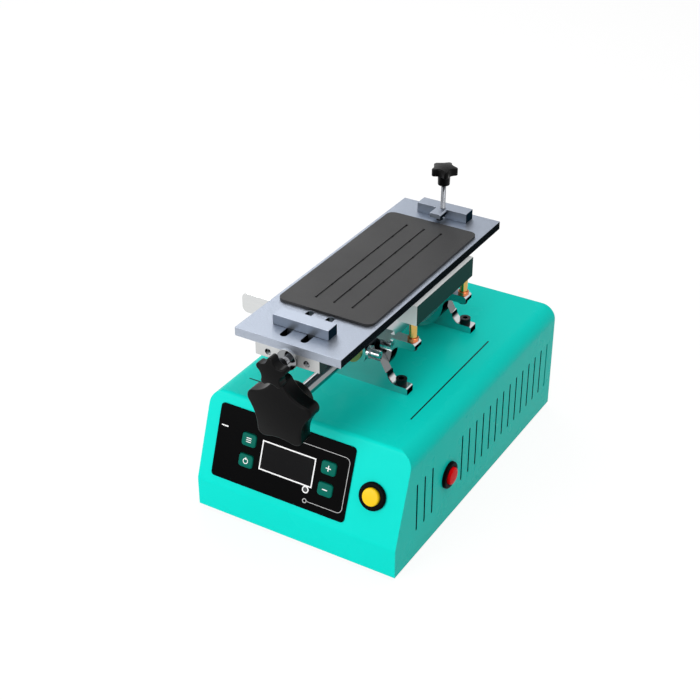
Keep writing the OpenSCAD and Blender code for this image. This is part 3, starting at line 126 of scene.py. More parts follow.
def new_group(name, inputs, outputs):
    """A shader node group with named float, colour or vector sockets."""
    tree = bpy.data.node_groups.new(name, "ShaderNodeTree")
    for label, kind, value in inputs:
        socket = tree.interface.new_socket(label, in_out="INPUT", socket_type="NodeSocket" + kind)
        socket.default_value = value
    for label, kind in outputs:
        tree.interface.new_socket(label, in_out="OUTPUT", socket_type="NodeSocket" + kind)
    return tree, tree.nodes.new("NodeGroupInput"), tree.nodes.new("NodeGroupOutput")


def surface_outputs(tree, entry, exit_, height, mask, distance):
    """Drives a group's bump by one noise, and its roughness and mask by another."""
    spread = new_node(tree, "ShaderNodeMapRange", From_Min=0.3, From_Max=0.7)
    bump = new_node(tree, "ShaderNodeBump", Distance=distance)
    join = tree.links.new
    join(mask, spread.inputs["Value"])
    join(entry.outputs["Low"], spread.inputs["To Min"])
    join(entry.outputs["High"], spread.inputs["To Max"])
    join(height, bump.inputs["Height"])
    join(entry.outputs["Bump"], bump.inputs["Strength"])
    join(spread.outputs["Result"], exit_.inputs["Roughness"])
    join(bump.outputs["Normal"], exit_.inputs["Normal"])
    join(mask, exit_.inputs["Mask"])


def grain_group():
    """Fine surface grain: a roughness that varies and a small bump, both in object coordinates."""
    tree, entry, exit_ = new_group(
        "surface_grain",
        [("Scale", "Float", 900.0), ("Bump", "Float", 0.1), ("Low", "Float", 0.3), ("High", "Float", 0.45)],
        [("Roughness", "Float"), ("Normal", "Vector"), ("Mask", "Float")])
    place = new_node(tree, "ShaderNodeTexCoord")
    fine = new_node(tree, "ShaderNodeTexNoise", Detail=4.0, Roughness=0.6)
    broad = new_node(tree, "ShaderNodeTexNoise", Scale=22.0, Detail=3.0, Roughness=0.55)
    tree.links.new(place.outputs["Object"], fine.inputs["Vector"])
    tree.links.new(place.outputs["Object"], broad.inputs["Vector"])
    tree.links.new(entry.outputs["Scale"], fine.inputs["Scale"])
    surface_outputs(tree, entry, exit_, fine.outputs["Fac"], broad.outputs["Fac"], 0.4 * MM)
    return tree


def brush_group():
    """Long fine scratches along one axis, as milling or brushing leaves them."""
    tree, entry, exit_ = new_group(
        "brushed_lines",
        [("Stretch", "Vector", (1.0, 1.0, 1.0)), ("Bump", "Float", 0.15), ("Low", "Float", 0.2),
         ("High", "Float", 0.35)],
        [("Roughness", "Float"), ("Normal", "Vector"), ("Mask", "Float")])
    place = new_node(tree, "ShaderNodeTexCoord")
    stretch = new_node(tree, "ShaderNodeVectorMath", {"operation": "MULTIPLY"})
    lines = new_node(tree, "ShaderNodeTexNoise", Scale=1.0, Detail=5.0, Roughness=0.7)
    tree.links.new(place.outputs["Object"], stretch.inputs[0])
    tree.links.new(entry.outputs["Stretch"], stretch.inputs[1])
    tree.links.new(stretch.outputs["Vector"], lines.inputs["Vector"])
    surface_outputs(tree, entry, exit_, lines.outputs["Fac"], lines.outputs["Fac"], 0.3 * MM)
    return tree


def painted_flank_shade_group():
    """Paints shade on the faces that look left and right, and with Front on those that look ahead: a dark
    second colour that stands in for the dark reflections and shade on those sides.
    """
    tree, entry, exit_ = new_group(
        "painted_flank_shade",
        [("Face", "Color", (0.7, 0.7, 0.7, 1.0)), ("Flank", "Color", (0.02, 0.02, 0.02, 1.0)),
         ("Start", "Float", 0.75), ("End", "Float", 0.95), ("Front", "Float", 0.0)],
        [("Color", "Color")])
    place = new_node(tree, "ShaderNodeTexCoord")
    split = new_node(tree, "ShaderNodeSeparateXYZ")
    size = new_node(tree, "ShaderNodeMath", {"operation": "ABSOLUTE"})
    ahead = new_node(tree, "ShaderNodeMath", {"operation": "MULTIPLY"})
    turned = new_node(tree, "ShaderNodeMath", {"operation": "MULTIPLY"})
    turned.inputs[1].default_value = -1.0
    most = new_node(tree, "ShaderNodeMath", {"operation": "MAXIMUM"})
    ramp = new_node(tree, "ShaderNodeMapRange", {"interpolation_type": "SMOOTHSTEP"})
    blend = new_node(tree, "ShaderNodeMix", {"data_type": "RGBA"})
    join = tree.links.new
    join(place.outputs["Normal"], split.inputs["Vector"])
    join(split.outputs["X"], size.inputs[0])
    join(split.outputs["Y"], ahead.inputs[0])
    join(ahead.outputs["Value"], most.inputs[1])
    join(size.outputs["Value"], most.inputs[0])
    join(most.outputs["Value"], ramp.inputs["Value"])
    join(entry.outputs["Front"], turned.inputs[0])
    join(turned.outputs["Value"], ahead.inputs[1])
    join(entry.outputs["Start"], ramp.inputs["From Min"])
    join(entry.outputs["End"], ramp.inputs["From Max"])
    join(ramp.outputs["Result"], blend.inputs["Factor"])
    join(entry.outputs["Face"], blend.inputs["A"])
    join(entry.outputs["Flank"], blend.inputs["B"])
    join(blend.outputs["Result"], exit_.inputs["Color"])
    return tree


def painted_slot_shade_group():
    """A mask for painted shade, 1 behind the outer skin of the sides, between the folds."""
    tree, entry, exit_ = new_group(
        "painted_slot_shade_mask",
        [("Skin", "Float", COVER_HIGH.x - 0.1 * MM), ("Inside", "Float", 80 * MM), ("Low", "Float", 10 * MM),
         ("High", "Float", 80 * MM), ("Front", "Float", -112 * MM), ("Rear", "Float", 120 * MM)],
        [("Mask", "Float")])
    place = new_node(tree, "ShaderNodeTexCoord")
    split = new_node(tree, "ShaderNodeSeparateXYZ")
    size = new_node(tree, "ShaderNodeMath", {"operation": "ABSOLUTE"})
    tree.links.new(place.outputs["Object"], split.inputs["Vector"])
    tree.links.new(split.outputs["X"], size.inputs[0])
    tests = (("LESS_THAN", size.outputs["Value"], "Skin"), ("GREATER_THAN", size.outputs["Value"], "Inside"),
             ("GREATER_THAN", split.outputs["Z"], "Low"), ("LESS_THAN", split.outputs["Z"], "High"),
             ("GREATER_THAN", split.outputs["Y"], "Front"), ("LESS_THAN", split.outputs["Y"], "Rear"))
    mask = None
    for operation, value, limit in tests:
        test = new_node(tree, "ShaderNodeMath", {"operation": operation})
        tree.links.new(value, test.inputs[0])
        tree.links.new(entry.outputs[limit], test.inputs[1])
        if mask:
            both = new_node(tree, "ShaderNodeMath", {"operation": "MULTIPLY"})
            tree.links.new(mask, both.inputs[0])
            tree.links.new(test.outputs["Value"], both.inputs[1])
            mask = both.outputs["Value"]
        else:
            mask = test.outputs["Value"]
    tree.links.new(mask, exit_.inputs["Mask"])
    return tree


GROUPS = {}


def shared(name):
    """The shared effect of that name, built the first time it is asked for."""
    makers = {"grain": grain_group, "brush": brush_group, "painted_flank": painted_flank_shade_group, "slots": painted_slot_shade_group}
    if name not in GROUPS:
        GROUPS[name] = makers[name]()
    return GROUPS[name]


def place_group(tree, name, **inputs):
    """Places a shared effect in a material, with the material's own values."""
    node = tree.nodes.new("ShaderNodeGroup")
    node.node_tree = shared(name)
    for key, value in inputs.items():
        node.inputs[key].default_value = value
    return node


def with_painted_slot_shade(material):
    """Paints shade on the coat behind the skin of the two sides, so that the vent slots read as dark lines.
    """
    tree = material.node_tree
    base = tree.nodes["Principled BSDF"].inputs["Base Color"]
    mix = new_node(tree, "ShaderNodeMix", {"data_type": "RGBA"})
    mix.inputs["B"].default_value = SLOT_SHADE_TONE
    tree.links.new(place_group(tree, "slots").outputs["Mask"], mix.inputs["Factor"])
    tree.links.new(base.links[0].from_socket, mix.inputs["A"])
    tree.links.new(mix.outputs["Result"], base)
    return material


def shown_rays(tree):
    """1 for the rays that see the white background: camera, glossy and transmission rays."""
    path = new_node(tree, "ShaderNodeLightPath")
    value = path.outputs["Is Camera Ray"]
    for name in ("Is Glossy Ray", "Is Transmission Ray"):
        most = new_node(tree, "ShaderNodeMath", {"operation": "MAXIMUM"})
        tree.links.new(value, most.inputs[0])
        tree.links.new(path.outputs[name], most.inputs[1])
        value = most.outputs["Value"]
    return value


def new_material(name, **sockets):
    """A material with its Principled shader, whose plain values are set on the shader's own sockets."""
    material = bpy.data.materials.new(name)
    material.use_nodes = True
    shader = material.node_tree.nodes["Principled BSDF"]
    for key, value in sockets.items():
        shader.inputs[key.replace("_", " ")].default_value = value
    return material, material.node_tree, shader


def tinted(tree, shader, tone, mask, spread):
    """Feeds Base Color with a tone that varies a little by a mask."""
    low = [channel * (1 - spread) for channel in tone] + [1.0]
    high = [min(1.0, channel * (1 + spread)) for channel in tone] + [1.0]
    mix = new_node(tree, "ShaderNodeMix", {"data_type": "RGBA"})
    mix.inputs["A"].default_value = low
    mix.inputs["B"].default_value = high
    tree.links.new(mask, mix.inputs["Factor"])
    tree.links.new(mix.outputs["Result"], shader.inputs["Base Color"])
    return mix


def grained(name, tone, low, high, scale=900.0, bump=0.1, spread=0.06, **sockets):
    """A moulded, coated or rubber finish with fine grain."""
    material, tree, shader = new_material(name, **sockets)
    grain = place_group(tree, "grain", Scale=scale, Bump=bump, Low=low, High=high)
    tinted(tree, shader, tone, grain.outputs["Mask"], spread)
    tree.links.new(grain.outputs["Roughness"], shader.inputs["Roughness"])
    tree.links.new(grain.outputs["Normal"], shader.inputs["Normal"])
    return material


def brushed(name, tone, low, high, stretch, bump=0.12, spread=0.08, painted_flank=None, ahead=0.0, metal=1.0,
            **sockets):
    """A metal with fine lines along one axis, and painted shade on its side faces where painted_flank gives
    their tone.
    """
    material, tree, shader = new_material(name, Metallic=metal, **sockets)
    lines = place_group(tree, "brush", Stretch=stretch, Bump=bump, Low=low, High=high)
    mix = tinted(tree, shader, tone, lines.outputs["Mask"], spread)
    if painted_flank:
        # Painted shade on the side faces, and on the front faces as far as ahead asks.
        sides = place_group(tree, "painted_flank", Flank=(*painted_flank, 1.0), Front=ahead)
        tree.links.new(mix.outputs["Result"], sides.inputs["Face"])
        tree.links.new(sides.outputs["Color"], shader.inputs["Base Color"])
    tree.links.new(lines.outputs["Roughness"], shader.inputs["Roughness"])
    tree.links.new(lines.outputs["Normal"], shader.inputs["Normal"])
    return material


# Finishes: how fine the lines of a metal are along X, Y and Z, and tones that no user would change
ACROSS = (90.0, 2600.0, 2600.0)
ALONG = (2600.0, 90.0, 2600.0)
AROUND = (90.0, 90.0, 2600.0)
FINE = (1500.0, 1500.0, 1500.0)
MILLED = (700.0, 700.0, 700.0)
SOFT_TINT = (0.35, 0.35, 0.35, 1.0)
# Painted shade for the walls of the vent slots and the inside of the sides.
SLOT_SHADE_TONE = (0.002, 0.034, 0.030, 1.0)
# Painted shade for the side faces of the jaws, whose front faces take it too, and for the sides of the heater
# box.
JAW_PAINTED_FLANK = (0.018, 0.036, 0.048)
HOOD_PAINTED_FLANK = (0.004, 0.050, 0.044)


# Each finish: tone, least and most roughness, grain or lines, bump, change of tone, painted flank shade and
# its front
def make_finishes():
    """Every finish of the object by name."""
    tone = colours()
    painted_flank = tuple(tone.painted_flank)
    return {
        # The coat carries painted shade behind the skin of its sides.
        "coat": with_painted_slot_shade(grained("powder_coat", tone.coat, 0.22, 0.30, 1500.0, 0.04, 0.02,
                                Specular_IOR_Level=0.03)),
        "zinc": brushed("zinc_sheet", (0.55, 0.57, 0.58), 0.32, 0.5, FINE),
        "plated": brushed("plated_screws", (0.66, 0.67, 0.68), 0.22, 0.34, FINE),
        "black_screw": brushed("black_screws", (0.018, 0.018, 0.020), 0.25, 0.4, FINE),
        "rubber": grained("foot_rubber", (0.010, 0.010, 0.010), 0.6, 0.75, 700.0, 0.3,
                          Specular_IOR_Level=0.25),
        "mat": grained("silicone_mat", tone.mat, 0.42, 0.52, 1800.0, 0.12, 0.05, Specular_IOR_Level=0.15),
        "moulded": grained("moulded_black", (0.003, 0.003, 0.0035), 0.32, 0.42, 1400.0, 0.15,
                           Specular_IOR_Level=0.015),
        "knob": grained("knob_phenolic", tone.knob, 0.26, 0.34, 1100.0, 0.05, 0.10, Specular_IOR_Level=0.08),
        "overlay": grained("overlay_film", tone.overlay, 0.26, 0.34, 2200.0, 0.03, Specular_IOR_Level=0.01),
        "window": grained("window_acrylic", (0.0075, 0.0075, 0.0080), 0.10, 0.14, 300.0, 0.01,
                          Specular_IOR_Level=0.03),
        "display": grained("display_potting", (0.010, 0.010, 0.012), 0.4, 0.5),
        "board": grained("board_mask", (0.010, 0.110, 0.048), 0.3, 0.4),
        "lamp": grained("lamp_lens", (0.020, 0.022, 0.024), 0.12, 0.2, 500.0, 0.02),
        "key": grained("key_green", tone.key, 0.30, 0.38, 1200.0, 0.05, 0.08, Specular_IOR_Level=0.03),
        "yellow": grained("cap_yellow", tone.yellow, 0.22, 0.30, 900.0, 0.03, 0.03, Specular_IOR_Level=0.10),
        "red": grained("cap_red", tone.red, 0.22, 0.30, 900.0, 0.03, 0.03, Specular_IOR_Level=0.03),
        # The steel, table, jaws, block and heater box take painted flank shade on their side faces.
        "steel": brushed("polished_steel", tone.steel, 0.07, 0.14, ACROSS, 0.03, 0.05, painted_flank,
                         Specular_Tint=SOFT_TINT),
        "ground": brushed("ground_steel", (0.55, 0.57, 0.59), 0.14, 0.24, ALONG, 0.05),
        "turned": brushed("turned_steel", (0.30, 0.31, 0.33), 0.10, 0.18, AROUND, 0.05),
        "table": brushed("milled_table", tone.table, 0.34, 0.46, MILLED, 0.8, 0.16, painted_flank,
                         Specular_Tint=SOFT_TINT),
        "jaw": brushed("milled_jaw", tone.table, 0.34, 0.44, FINE, 0.25, 0.08, JAW_PAINTED_FLANK, 0.85,
                       Specular_Tint=SOFT_TINT),
        "block": brushed("milled_block", (0.50, 0.51, 0.51), 0.34, 0.44, FINE, 0.25, 0.08, painted_flank),
        "dark_chrome": brushed("dark_chrome", (0.26, 0.27, 0.28), 0.06, 0.10, ALONG, 0.02),
        "cast": brushed("milled_alloy", (0.50, 0.52, 0.54), 0.3, 0.42, FINE, 0.12),
        "hood": brushed("heater_box_steel", (0.78, 0.80, 0.80), 0.50, 0.60, ALONG, 0.04, 0.05, HOOD_PAINTED_FLANK,
                        metal=0.4, Specular_IOR_Level=0.1, Specular_Tint=SOFT_TINT),
        "bronze": brushed("bush_bronze", (0.46, 0.29, 0.11), 0.25, 0.36, FINE),
        "brass": brushed("turned_brass", tone.brass, 0.07, 0.13, AROUND, 0.05),
        "copper": brushed("turned_copper", tone.copper, 0.16, 0.26, AROUND, 0.05),
        "felt": grained("insulation_felt", (0.66, 0.60, 0.46), 0.85, 0.95, 500.0, 0.8, 0.12),
        "hose": grained("hose_silicone", (0.60, 0.62, 0.60), 0.3, 0.4),
        "white_print": grained("white_print", (0.86, 0.86, 0.86), 0.45, 0.55, 1500.0, 0.02, 0.02),
        "grey_print": grained("grey_print", (0.42, 0.42, 0.42), 0.45, 0.55, 1500.0, 0.02, 0.02),
        "black_print": grained("black_print", (0.004, 0.006, 0.006), 0.45, 0.55, 1500.0, 0.02, 0.02,
                               Specular_IOR_Level=0.05),
        "lever": brushed("bright_lever", (0.66, 0.67, 0.67), 0.12, 0.20, ACROSS, 0.05),
    }


NODE_FINISHES = {
    "housing_cover": "coat", "rear_panel": "coat", "base_tray": "zinc", "rubber_feet": "rubber",
    "foot_screws": "plated", "case_screws": "plated", "mains_inlet": "moulded", "control_overlay": "overlay",
    "display_window": "window", "display_module": "display", "control_board": "board", "output_lamp": "lamp",
    "set_key": "key", "power_key": "key", "plus_key": "key", "minus_key": "key", "yellow_bezel": "moulded",
    "yellow_cap": "yellow", "red_bezel": "moulded", "red_cap": "red", "button_nuts": "moulded",
    "power_supply": "zinc", "pump_motor": "ground", "pump_head": "moulded", "pump_bracket": "moulded",
    "air_valve": "moulded", "air_hose": "hose", "cable_grommet": "rubber", "front_bracket": "steel",
    "rear_bracket": "steel", "bracket_screws": "black_screw", "bearing_bushes": "bronze",
    "lock_screw": "ground", "tilt_shaft": "dark_chrome", "tilt_knob": "knob", "cradle_plates": "steel",
    "cradle_barrel": "cast", "brass_posts": "brass", "copper_rings": "copper", "post_screws": "black_screw",
    "heater_hood": "hood", "heater_block": "cast", "insulation_pad": "felt", "work_table": "table",
    "silicone_mat": "mat", "front_block": "block", "guide_rods": "dark_chrome", "rod_support": "cast",
    "clamp_screw": "cast", "clamp_knob": "knob", "front_jaw": "jaw", "jaw_carriage": "cast",
    "rear_jaw": "jaw", "jaw_gib": "cast", "press_rod": "turned", "press_knob": "knob",
    "press_pad": "ground", "lever_lug": "cast", "lock_lever": "lever", "lever_pin": "ground",
}
FINISHES = {}
BODY_OF = {node: body for body, nodes in frame["record"]["behaviour"]["bodies"].items() for node in nodes}


# Mesh helpers
WELD = 0.002 * MM
SPIN_WELD = 0.005 * MM
FLAT_ANGLE = math.radians(0.6)
SPIN_STEPS = 64
RING_STEPS = 40


def add_piece(name, bm, finish, body, replaced=()):
    """Turns a finished bmesh into a piece that rides on a body."""
    bmesh.ops.recalc_face_normals(bm, faces=bm.faces)
    shade(bm)
    mesh = bpy.data.meshes.new(name)
    bm.to_mesh(mesh)
    bm.free()
    piece = bpy.data.objects.new(name, mesh)
    bpy.context.scene.collection.objects.link(piece)
    piece.data.materials.append(FINISHES[finish])
    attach(piece, body)
    if replaced:
        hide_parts(*replaced)
    return piece


def shade(bm):
    """Smooth shading, with edges sharper than the limit kept sharp."""
    for face in bm.faces:
        face.smooth = True
    for edge in bm.edges:
        edge.smooth = len(edge.link_faces) == 2 and edge.calc_face_angle(math.pi) < SMOOTH_ANGLE


def bevel(bm, edges, width, segments=3):
    """Rounds a set of edges."""
    bmesh.ops.bevel(bm, geom=list(edges), offset=width, offset_type="OFFSET", affect="EDGES",
                    segments=segments, profile=0.5, material=-1, clamp_overlap=True)


def rotate(bm, angle, axis):
    """Turns a bmesh about an axis through the origin."""
    bmesh.ops.rotate(bm, cent=(0, 0, 0), matrix=Matrix.Rotation(angle, 3, axis), verts=bm.verts)


def move(bm, offset, verts=None):
    """Moves a bmesh, or the vertices given."""
    bmesh.ops.translate(bm, vec=offset, verts=verts or bm.verts)


def rake_frame():
    """Local X, up the rake and out of the face, as a matrix from the foot of the raked face."""
    height = COVER_HIGH.z - sizes().kick
    lean = math.atan2(sizes().rake_run, height)
    along = Vector((1, 0, 0))
    up = Vector((0, math.sin(lean), math.cos(lean)))
    turn = Matrix((along, up, along.cross(up))).transposed().to_4x4()
    return Matrix.Translation(Vector((0, COVER_LOW.y, sizes().kick))) @ turn


def node_mid(node):
    """Centre of a CAD node's box."""
    low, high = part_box(node)
    return (low + high) / 2


def rake_mid(node):
    """Centre of a CAD node's box, measured from the foot of the raked face."""
    return rake_frame().inverted() @ node_mid(node)


def slab(bm, centre, size, corner=0.0):
    """A flat block about a centre, with rounded upright corners."""
    made = bmesh.ops.create_cube(bm, size=1)["verts"]
    bmesh.ops.scale(bm, vec=size, verts=made)
    if corner:
        upright = {e for v in made for e in v.link_edges
                   if abs(e.verts[0].co.z - e.verts[1].co.z) > size[2] / 2}
        bevel(bm, upright, corner, 6)
        made = {v for f in bm.faces for v in f.verts if not f.tag}
    move(bm, centre, list(made))
    for face in bm.faces:
        face.tag = True


def eased_copy(node, width):
    """A copy of a CAD node with its triangles merged to clean faces and its edges eased."""
    bm = bmesh.new()
    bm.from_mesh(NODES[node].data)
    bmesh.ops.remove_doubles(bm, verts=bm.verts, dist=WELD)
    bmesh.ops.dissolve_limit(bm, angle_limit=FLAT_ANGLE, verts=bm.verts, edges=bm.edges)
    piece = add_piece(node + "_eased", bm, NODE_FINISHES[node], BODY_OF[node], (node,))
    ease = piece.modifiers.new("eased_edges", "BEVEL")
    ease.width = width
    ease.segments = 2
    ease.limit_method = "ANGLE"
    ease.angle_limit = SMOOTH_ANGLE
    ease.harden_normals = True
    ease.use_clamp_overlap = True


def spun(profile, steps=SPIN_STEPS):
    """A bmesh turned about Z from a profile of (radius, height) points."""
    bm = bmesh.new()
    verts = [bm.verts.new((r, 0, z)) for r, z in profile]
    edges = [bm.edges.new(pair) for pair in zip(verts, verts[1:])]
    bmesh.ops.spin(bm, geom=verts + edges, cent=(0, 0, 0), axis=(0, 0, 1), angle=math.tau, steps=steps,
                   use_merge=True, use_duplicate=False)
    bmesh.ops.remove_doubles(bm, verts=bm.verts, dist=SPIN_WELD)
    return bm


def arc(centre, radius, start, end, count):
    """Points of an arc in the profile plane, by degrees."""
    turn = [math.radians(start + (end - start) * i / count) for i in range(count + 1)]
    return [(centre[0] + radius * math.cos(a), centre[1] + radius * math.sin(a)) for a in turn]


def ring_on(bm, centre, radius, width, thick):
    """A flat ring about a centre."""
    before = set(bm.verts)
    inner, outer, half = radius - width / 2, radius + width / 2, thick / 2
    profile = [(inner, -half), (outer, -half), (outer, half), (inner, half), (inner, -half)]
    part = spun(profile, RING_STEPS)
    mesh = bpy.data.meshes.new("ring_part")
    part.to_mesh(mesh)
    part.free()
    bm.from_mesh(mesh)
    bpy.data.meshes.remove(mesh)
    move(bm, centre, [v for v in bm.verts if v not in before])
    for face in bm.faces:
        face.tag = True


# Star knobs: star thickness, hub radius and forward reach in mm, then shares of the drawn sizes
LOBES = 5
TIP_SHARE = 0.2
STAR_STEPS = 200
HUB_STEPS = 72
HUB_TAPER = 0.94
FOOT_ROUND_SHARE = 0.6
CROWN_SHARE = 0.10
CROWN_RINGS = (0.85, 0.82, 0.78, 0.7, 0.6, 0.4)
KNOBS = {
    "tilt_knob": {"star_t": 15.0, "hub_r": 14.5, "reach": 2.0, "rounding": 1.0, "grow": 1.04, "valley": 0.75},
    "clamp_knob": {"star_t": 8.6, "hub_r": 5.0, "reach": 0.0, "rounding": 0.55, "grow": 1.0, "valley": 0.66},
    "press_knob": {"star_t": 7.0, "hub_r": 5.0, "reach": 0.0, "rounding": 0.5, "grow": 0.88, "valley": 0.70},
}


def star_radius(angle, radius, valley_share):
    """Distance from the centre to a five lobed outline of round tips and round valleys."""
    half = math.pi / LOBES
    tip_r = radius * TIP_SHARE
    tip_at = radius - tip_r
    inset = tip_r - radius * valley_share
    valley_at = (tip_at ** 2 - inset ** 2) / (2 * (inset + tip_at * math.cos(half)))
    valley_r = valley_at - radius * valley_share
    from_tip = abs((angle - math.pi / 2 + half) % (2 * half) - half)
    tip = Vector((tip_at, 0))
    valley = Vector((valley_at * math.cos(half), valley_at * math.sin(half)))
    meet = tip + (valley - tip) * tip_r / (tip_r + valley_r)
    if from_tip < math.atan2(meet.y, meet.x):
        across = tip_at * math.sin(from_tip)
        return tip_at * math.cos(from_tip) + math.sqrt(max(0, tip_r ** 2 - across ** 2))
    rest = half - from_tip
    across = valley_at * math.sin(rest)
    return valley_at * math.cos(rest) - math.sqrt(max(0, valley_r ** 2 - across ** 2))


def verts_of(geom):
    """The vertices among the results of an operator."""
    return [item for item in geom if isinstance(item, bmesh.types.BMVert)]


def star_knob_mesh(radius, star_t, hub_r, hub_len, rounding, crown, valley_share):
    """A moulded knob standing on its hub, its star with rounded rims and a crowned face."""
    bm = bmesh.new()
    close = rounding / 10
    for vert in bmesh.ops.create_circle(bm, cap_ends=True, segments=STAR_STEPS, radius=1)["verts"]:
        angle = math.atan2(vert.co.y, vert.co.x)
        reach = star_radius(angle, radius, valley_share)
        vert.co = Vector((reach * math.cos(angle), reach * math.sin(angle), hub_len))
    top = bmesh.ops.extrude_face_region(bm, geom=list(bm.faces), use_keep_orig=True)["geom"]
    move(bm, (0, 0, star_t), verts_of(top))
    bevel(bm, [e for e in bm.edges if abs(e.verts[0].co.z - e.verts[1].co.z) < close], rounding, 6)
    level = hub_len + star_t
    face = [f for f in bm.faces if len(f.verts) > STAR_STEPS / 4 and f.calc_center_median().z > level - close]
    for share in CROWN_RINGS:
        face = bmesh.ops.extrude_face_region(bm, geom=face)["geom"]
        bmesh.ops.scale(bm, vec=(share, share, 1), verts=verts_of(face))
        face = [f for f in face if isinstance(f, bmesh.types.BMFace)]
    for vert in bm.verts:
        lift = max(0, (vert.co.z - hub_len) / star_t)
        vert.co.z -= crown * lift * (Vector(vert.co.xy).length / radius) ** 2
    depth = hub_len + star_t / 2
    hub = bmesh.ops.create_cone(bm, cap_ends=True, segments=HUB_STEPS, radius1=hub_r * HUB_TAPER,
                                radius2=hub_r, depth=depth)["verts"]
    move(bm, (0, 0, depth / 2), hub)
    foot = {e for v in hub for e in v.link_edges if all(w.co.z < close for w in e.verts)}
    bevel(bm, foot, rounding * FOOT_ROUND_SHARE)
    return bm


# Operators
class SEPARATOR_OT_finishes(bpy.types.Operator):
    """Gives every CAD node its procedural finish"""
    bl_idname = "separator.finishes"
    bl_label = "Finishes"

    def execute(self, context):
        FINISHES.update(make_finishes())
        for node, finish in NODE_FINISHES.items():
            mesh = NODES[node].data
            mesh.materials.clear()
            mesh.materials.append(FINISHES[finish])
        return {"FINISHED"}


class SEPARATOR_OT_knobs(bpy.types.Operator):
    """Models the three star knobs with rounded rims and crowned faces"""
    bl_idname = "separator.knobs"
    bl_label = "Star knobs"

    def execute(self, context):
        side_share = (1 - TIP_SHARE) * math.cos(math.pi / (2 * LOBES)) + TIP_SHARE
        for node, knob in KNOBS.items():
            low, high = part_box(node)
            upright = node == "press_knob"
            depth = high.z - low.z if upright else high.y - low.y
            radius = (high.x - low.x) / (2 * side_share)
            bm = star_knob_mesh(radius * knob["grow"], knob["star_t"] * MM, knob["hub_r"] * MM,
                                depth - (knob["star_t"] - knob["reach"]) * MM,
                                sizes().knob_round * knob["rounding"], radius * CROWN_SHARE, knob["valley"])
            if upright:
                move(bm, (0, high.y - radius, low.z))
            else:
                rotate(bm, math.pi / 2, "X")
                move(bm, (0, high.y, high.z - radius))
            add_piece(node + "_moulding", bm, "knob", BODY_OF[node], (node,))
        return {"FINISHED"}


EASED = ("work_table", "front_jaw", "rear_jaw", "front_block", "heater_hood", "front_bracket", "rear_bracket",
         "cradle_plates", "lock_lever")


class SEPARATOR_OT_eased(bpy.types.Operator):
    """Eases the edges of the metal pieces so that they catch the light"""
    bl_idname = "separator.eased"
    bl_label = "Eased metal"

    def execute(self, context):
        for node in EASED:
            eased_copy(node, sizes().ease)
        return {"FINISHED"}


class SEPARATOR_OT_buttons(bpy.types.Operator):
    """Models the two push buttons: rounded bezels and soft caps"""
    bl_idname = "separator.buttons"
    bl_label = "Push buttons"

    def execute(self, context):
        bezel_r, bezel_h, cap_r, proud, skirt = (v * MM for v in (10.5, 2.6, 6.7, 2.0, 6.0))
        soft, rim, shoulder, dome = (v * MM for v in (1.1, 0.05, 0.12, 0.16))
        red = node_mid("red_cap")
        side = Matrix.Translation(Vector((COVER_HIGH.x, red.y, red.z))) @ Matrix.Rotation(math.pi / 2, 4, "Y")
        yellow = rake_mid("yellow_cap")
        face = rake_frame() @ Matrix.Translation(Vector((yellow.x, yellow.y, 0)))
        for colour_name, place in (("yellow", face), ("red", side)):
            ring = [(cap_r + rim, -skirt), (cap_r + rim, bezel_h - soft)]
            ring += [(cap_r + soft * 0.6, bezel_h)] + arc((bezel_r - soft, bezel_h - soft), soft, 90, 0, 6)
            ring += [(bezel_r, 0), (cap_r + soft, 0), (cap_r + soft, -skirt)]
            bm = spun(ring + [ring[0]])
            bm.transform(place)
            add_piece(colour_name + "_bezel_ring", bm, "moulded", "housing",
                      (colour_name + "_bezel",))
            top = bezel_h + proud
            cap = [(0, -skirt), (cap_r, -skirt)] + arc((cap_r - soft, top - soft), soft, 0, 90, 6)
            bm = spun(cap + [(cap_r / 2, top + shoulder), (0, top + dome)])
            bm.transform(place)
            add_piece(colour_name + "_cap_dome", bm, colour_name, colour_name + "_button",
                      (colour_name + "_cap",))
        return {"FINISHED"}


class SEPARATOR_OT_keys(bpy.types.Operator):
    """Models the four key caps with soft rims, and their white signs"""
    bl_idname = "separator.keys"
    bl_label = "Keys"

    def execute(self, context):
        key_w, key_len, corner, low, top, soft = (v * MM for v in (12.4, 10.0, 2.4, -2.1, 1.7, 0.9))
        for node in ("set_key", "power_key", "plus_key", "minus_key"):
            mid = rake_mid(node)
            bm = bmesh.new()
            slab(bm, (mid.x, mid.y, (low + top) / 2), (key_w, key_len, top - low), corner)
            bevel(bm, [e for e in bm.edges if all(v.co.z > top - 0.01 * MM for v in e.verts)], soft, 4)
            bm.transform(rake_frame())
            add_piece(node + "_cap", bm, "key", BODY_OF[node], (node,))
            bm = self.sign(node, mid, top)
            bm.transform(rake_frame())
            add_piece(node + "_sign", bm, "white_print", BODY_OF[node])
        return {"FINISHED"}

    def sign(self, node, mid, top):
        """The sign of one key: lines for set, a broken ring for power, plus or minus."""
        bm = bmesh.new()
        bar, thick, ring_r, ring_w, stem, pitch = (v * MM for v in (4.2, 0.75, 1.9, 0.6, 2.0, 1.5))
        thin = sizes().print_t
        height = top + thin / 2
        if node in ("plus_key", "minus_key"):
            slab(bm, (mid.x, mid.y, height), (bar, thick, thin))
        if node == "plus_key":
            slab(bm, (mid.x, mid.y, height), (thick, bar, thin))
        if node == "power_key":
            ring_on(bm, (mid.x, mid.y, height), ring_r, ring_w, thin)
            slab(bm, (mid.x, mid.y + ring_r, height), (thick * 0.8, stem, thin * 1.2))
        if node == "set_key":
            for i in (-1, 0, 1):
                slab(bm, (mid.x, mid.y + i * pitch, height), (bar, thick * 0.8, thin))
        return bm


# Printed marks: centre and size in mm, on the raked face and on the deck
FACE_DASH = ((-67.9, 47.0), (5.9, 0.9))
DECK_LINES = (((61.9, -7.8), (1.1, 125.6)), ((-56.0, -84.5), (23.0, 1.1)))
WINDOW_SIZE = (43.8, 20.8)
OVERLAY_FACE = 0.8 * MM
CORNER_STEPS = 6
CORNER_OVERLAP = 1.06


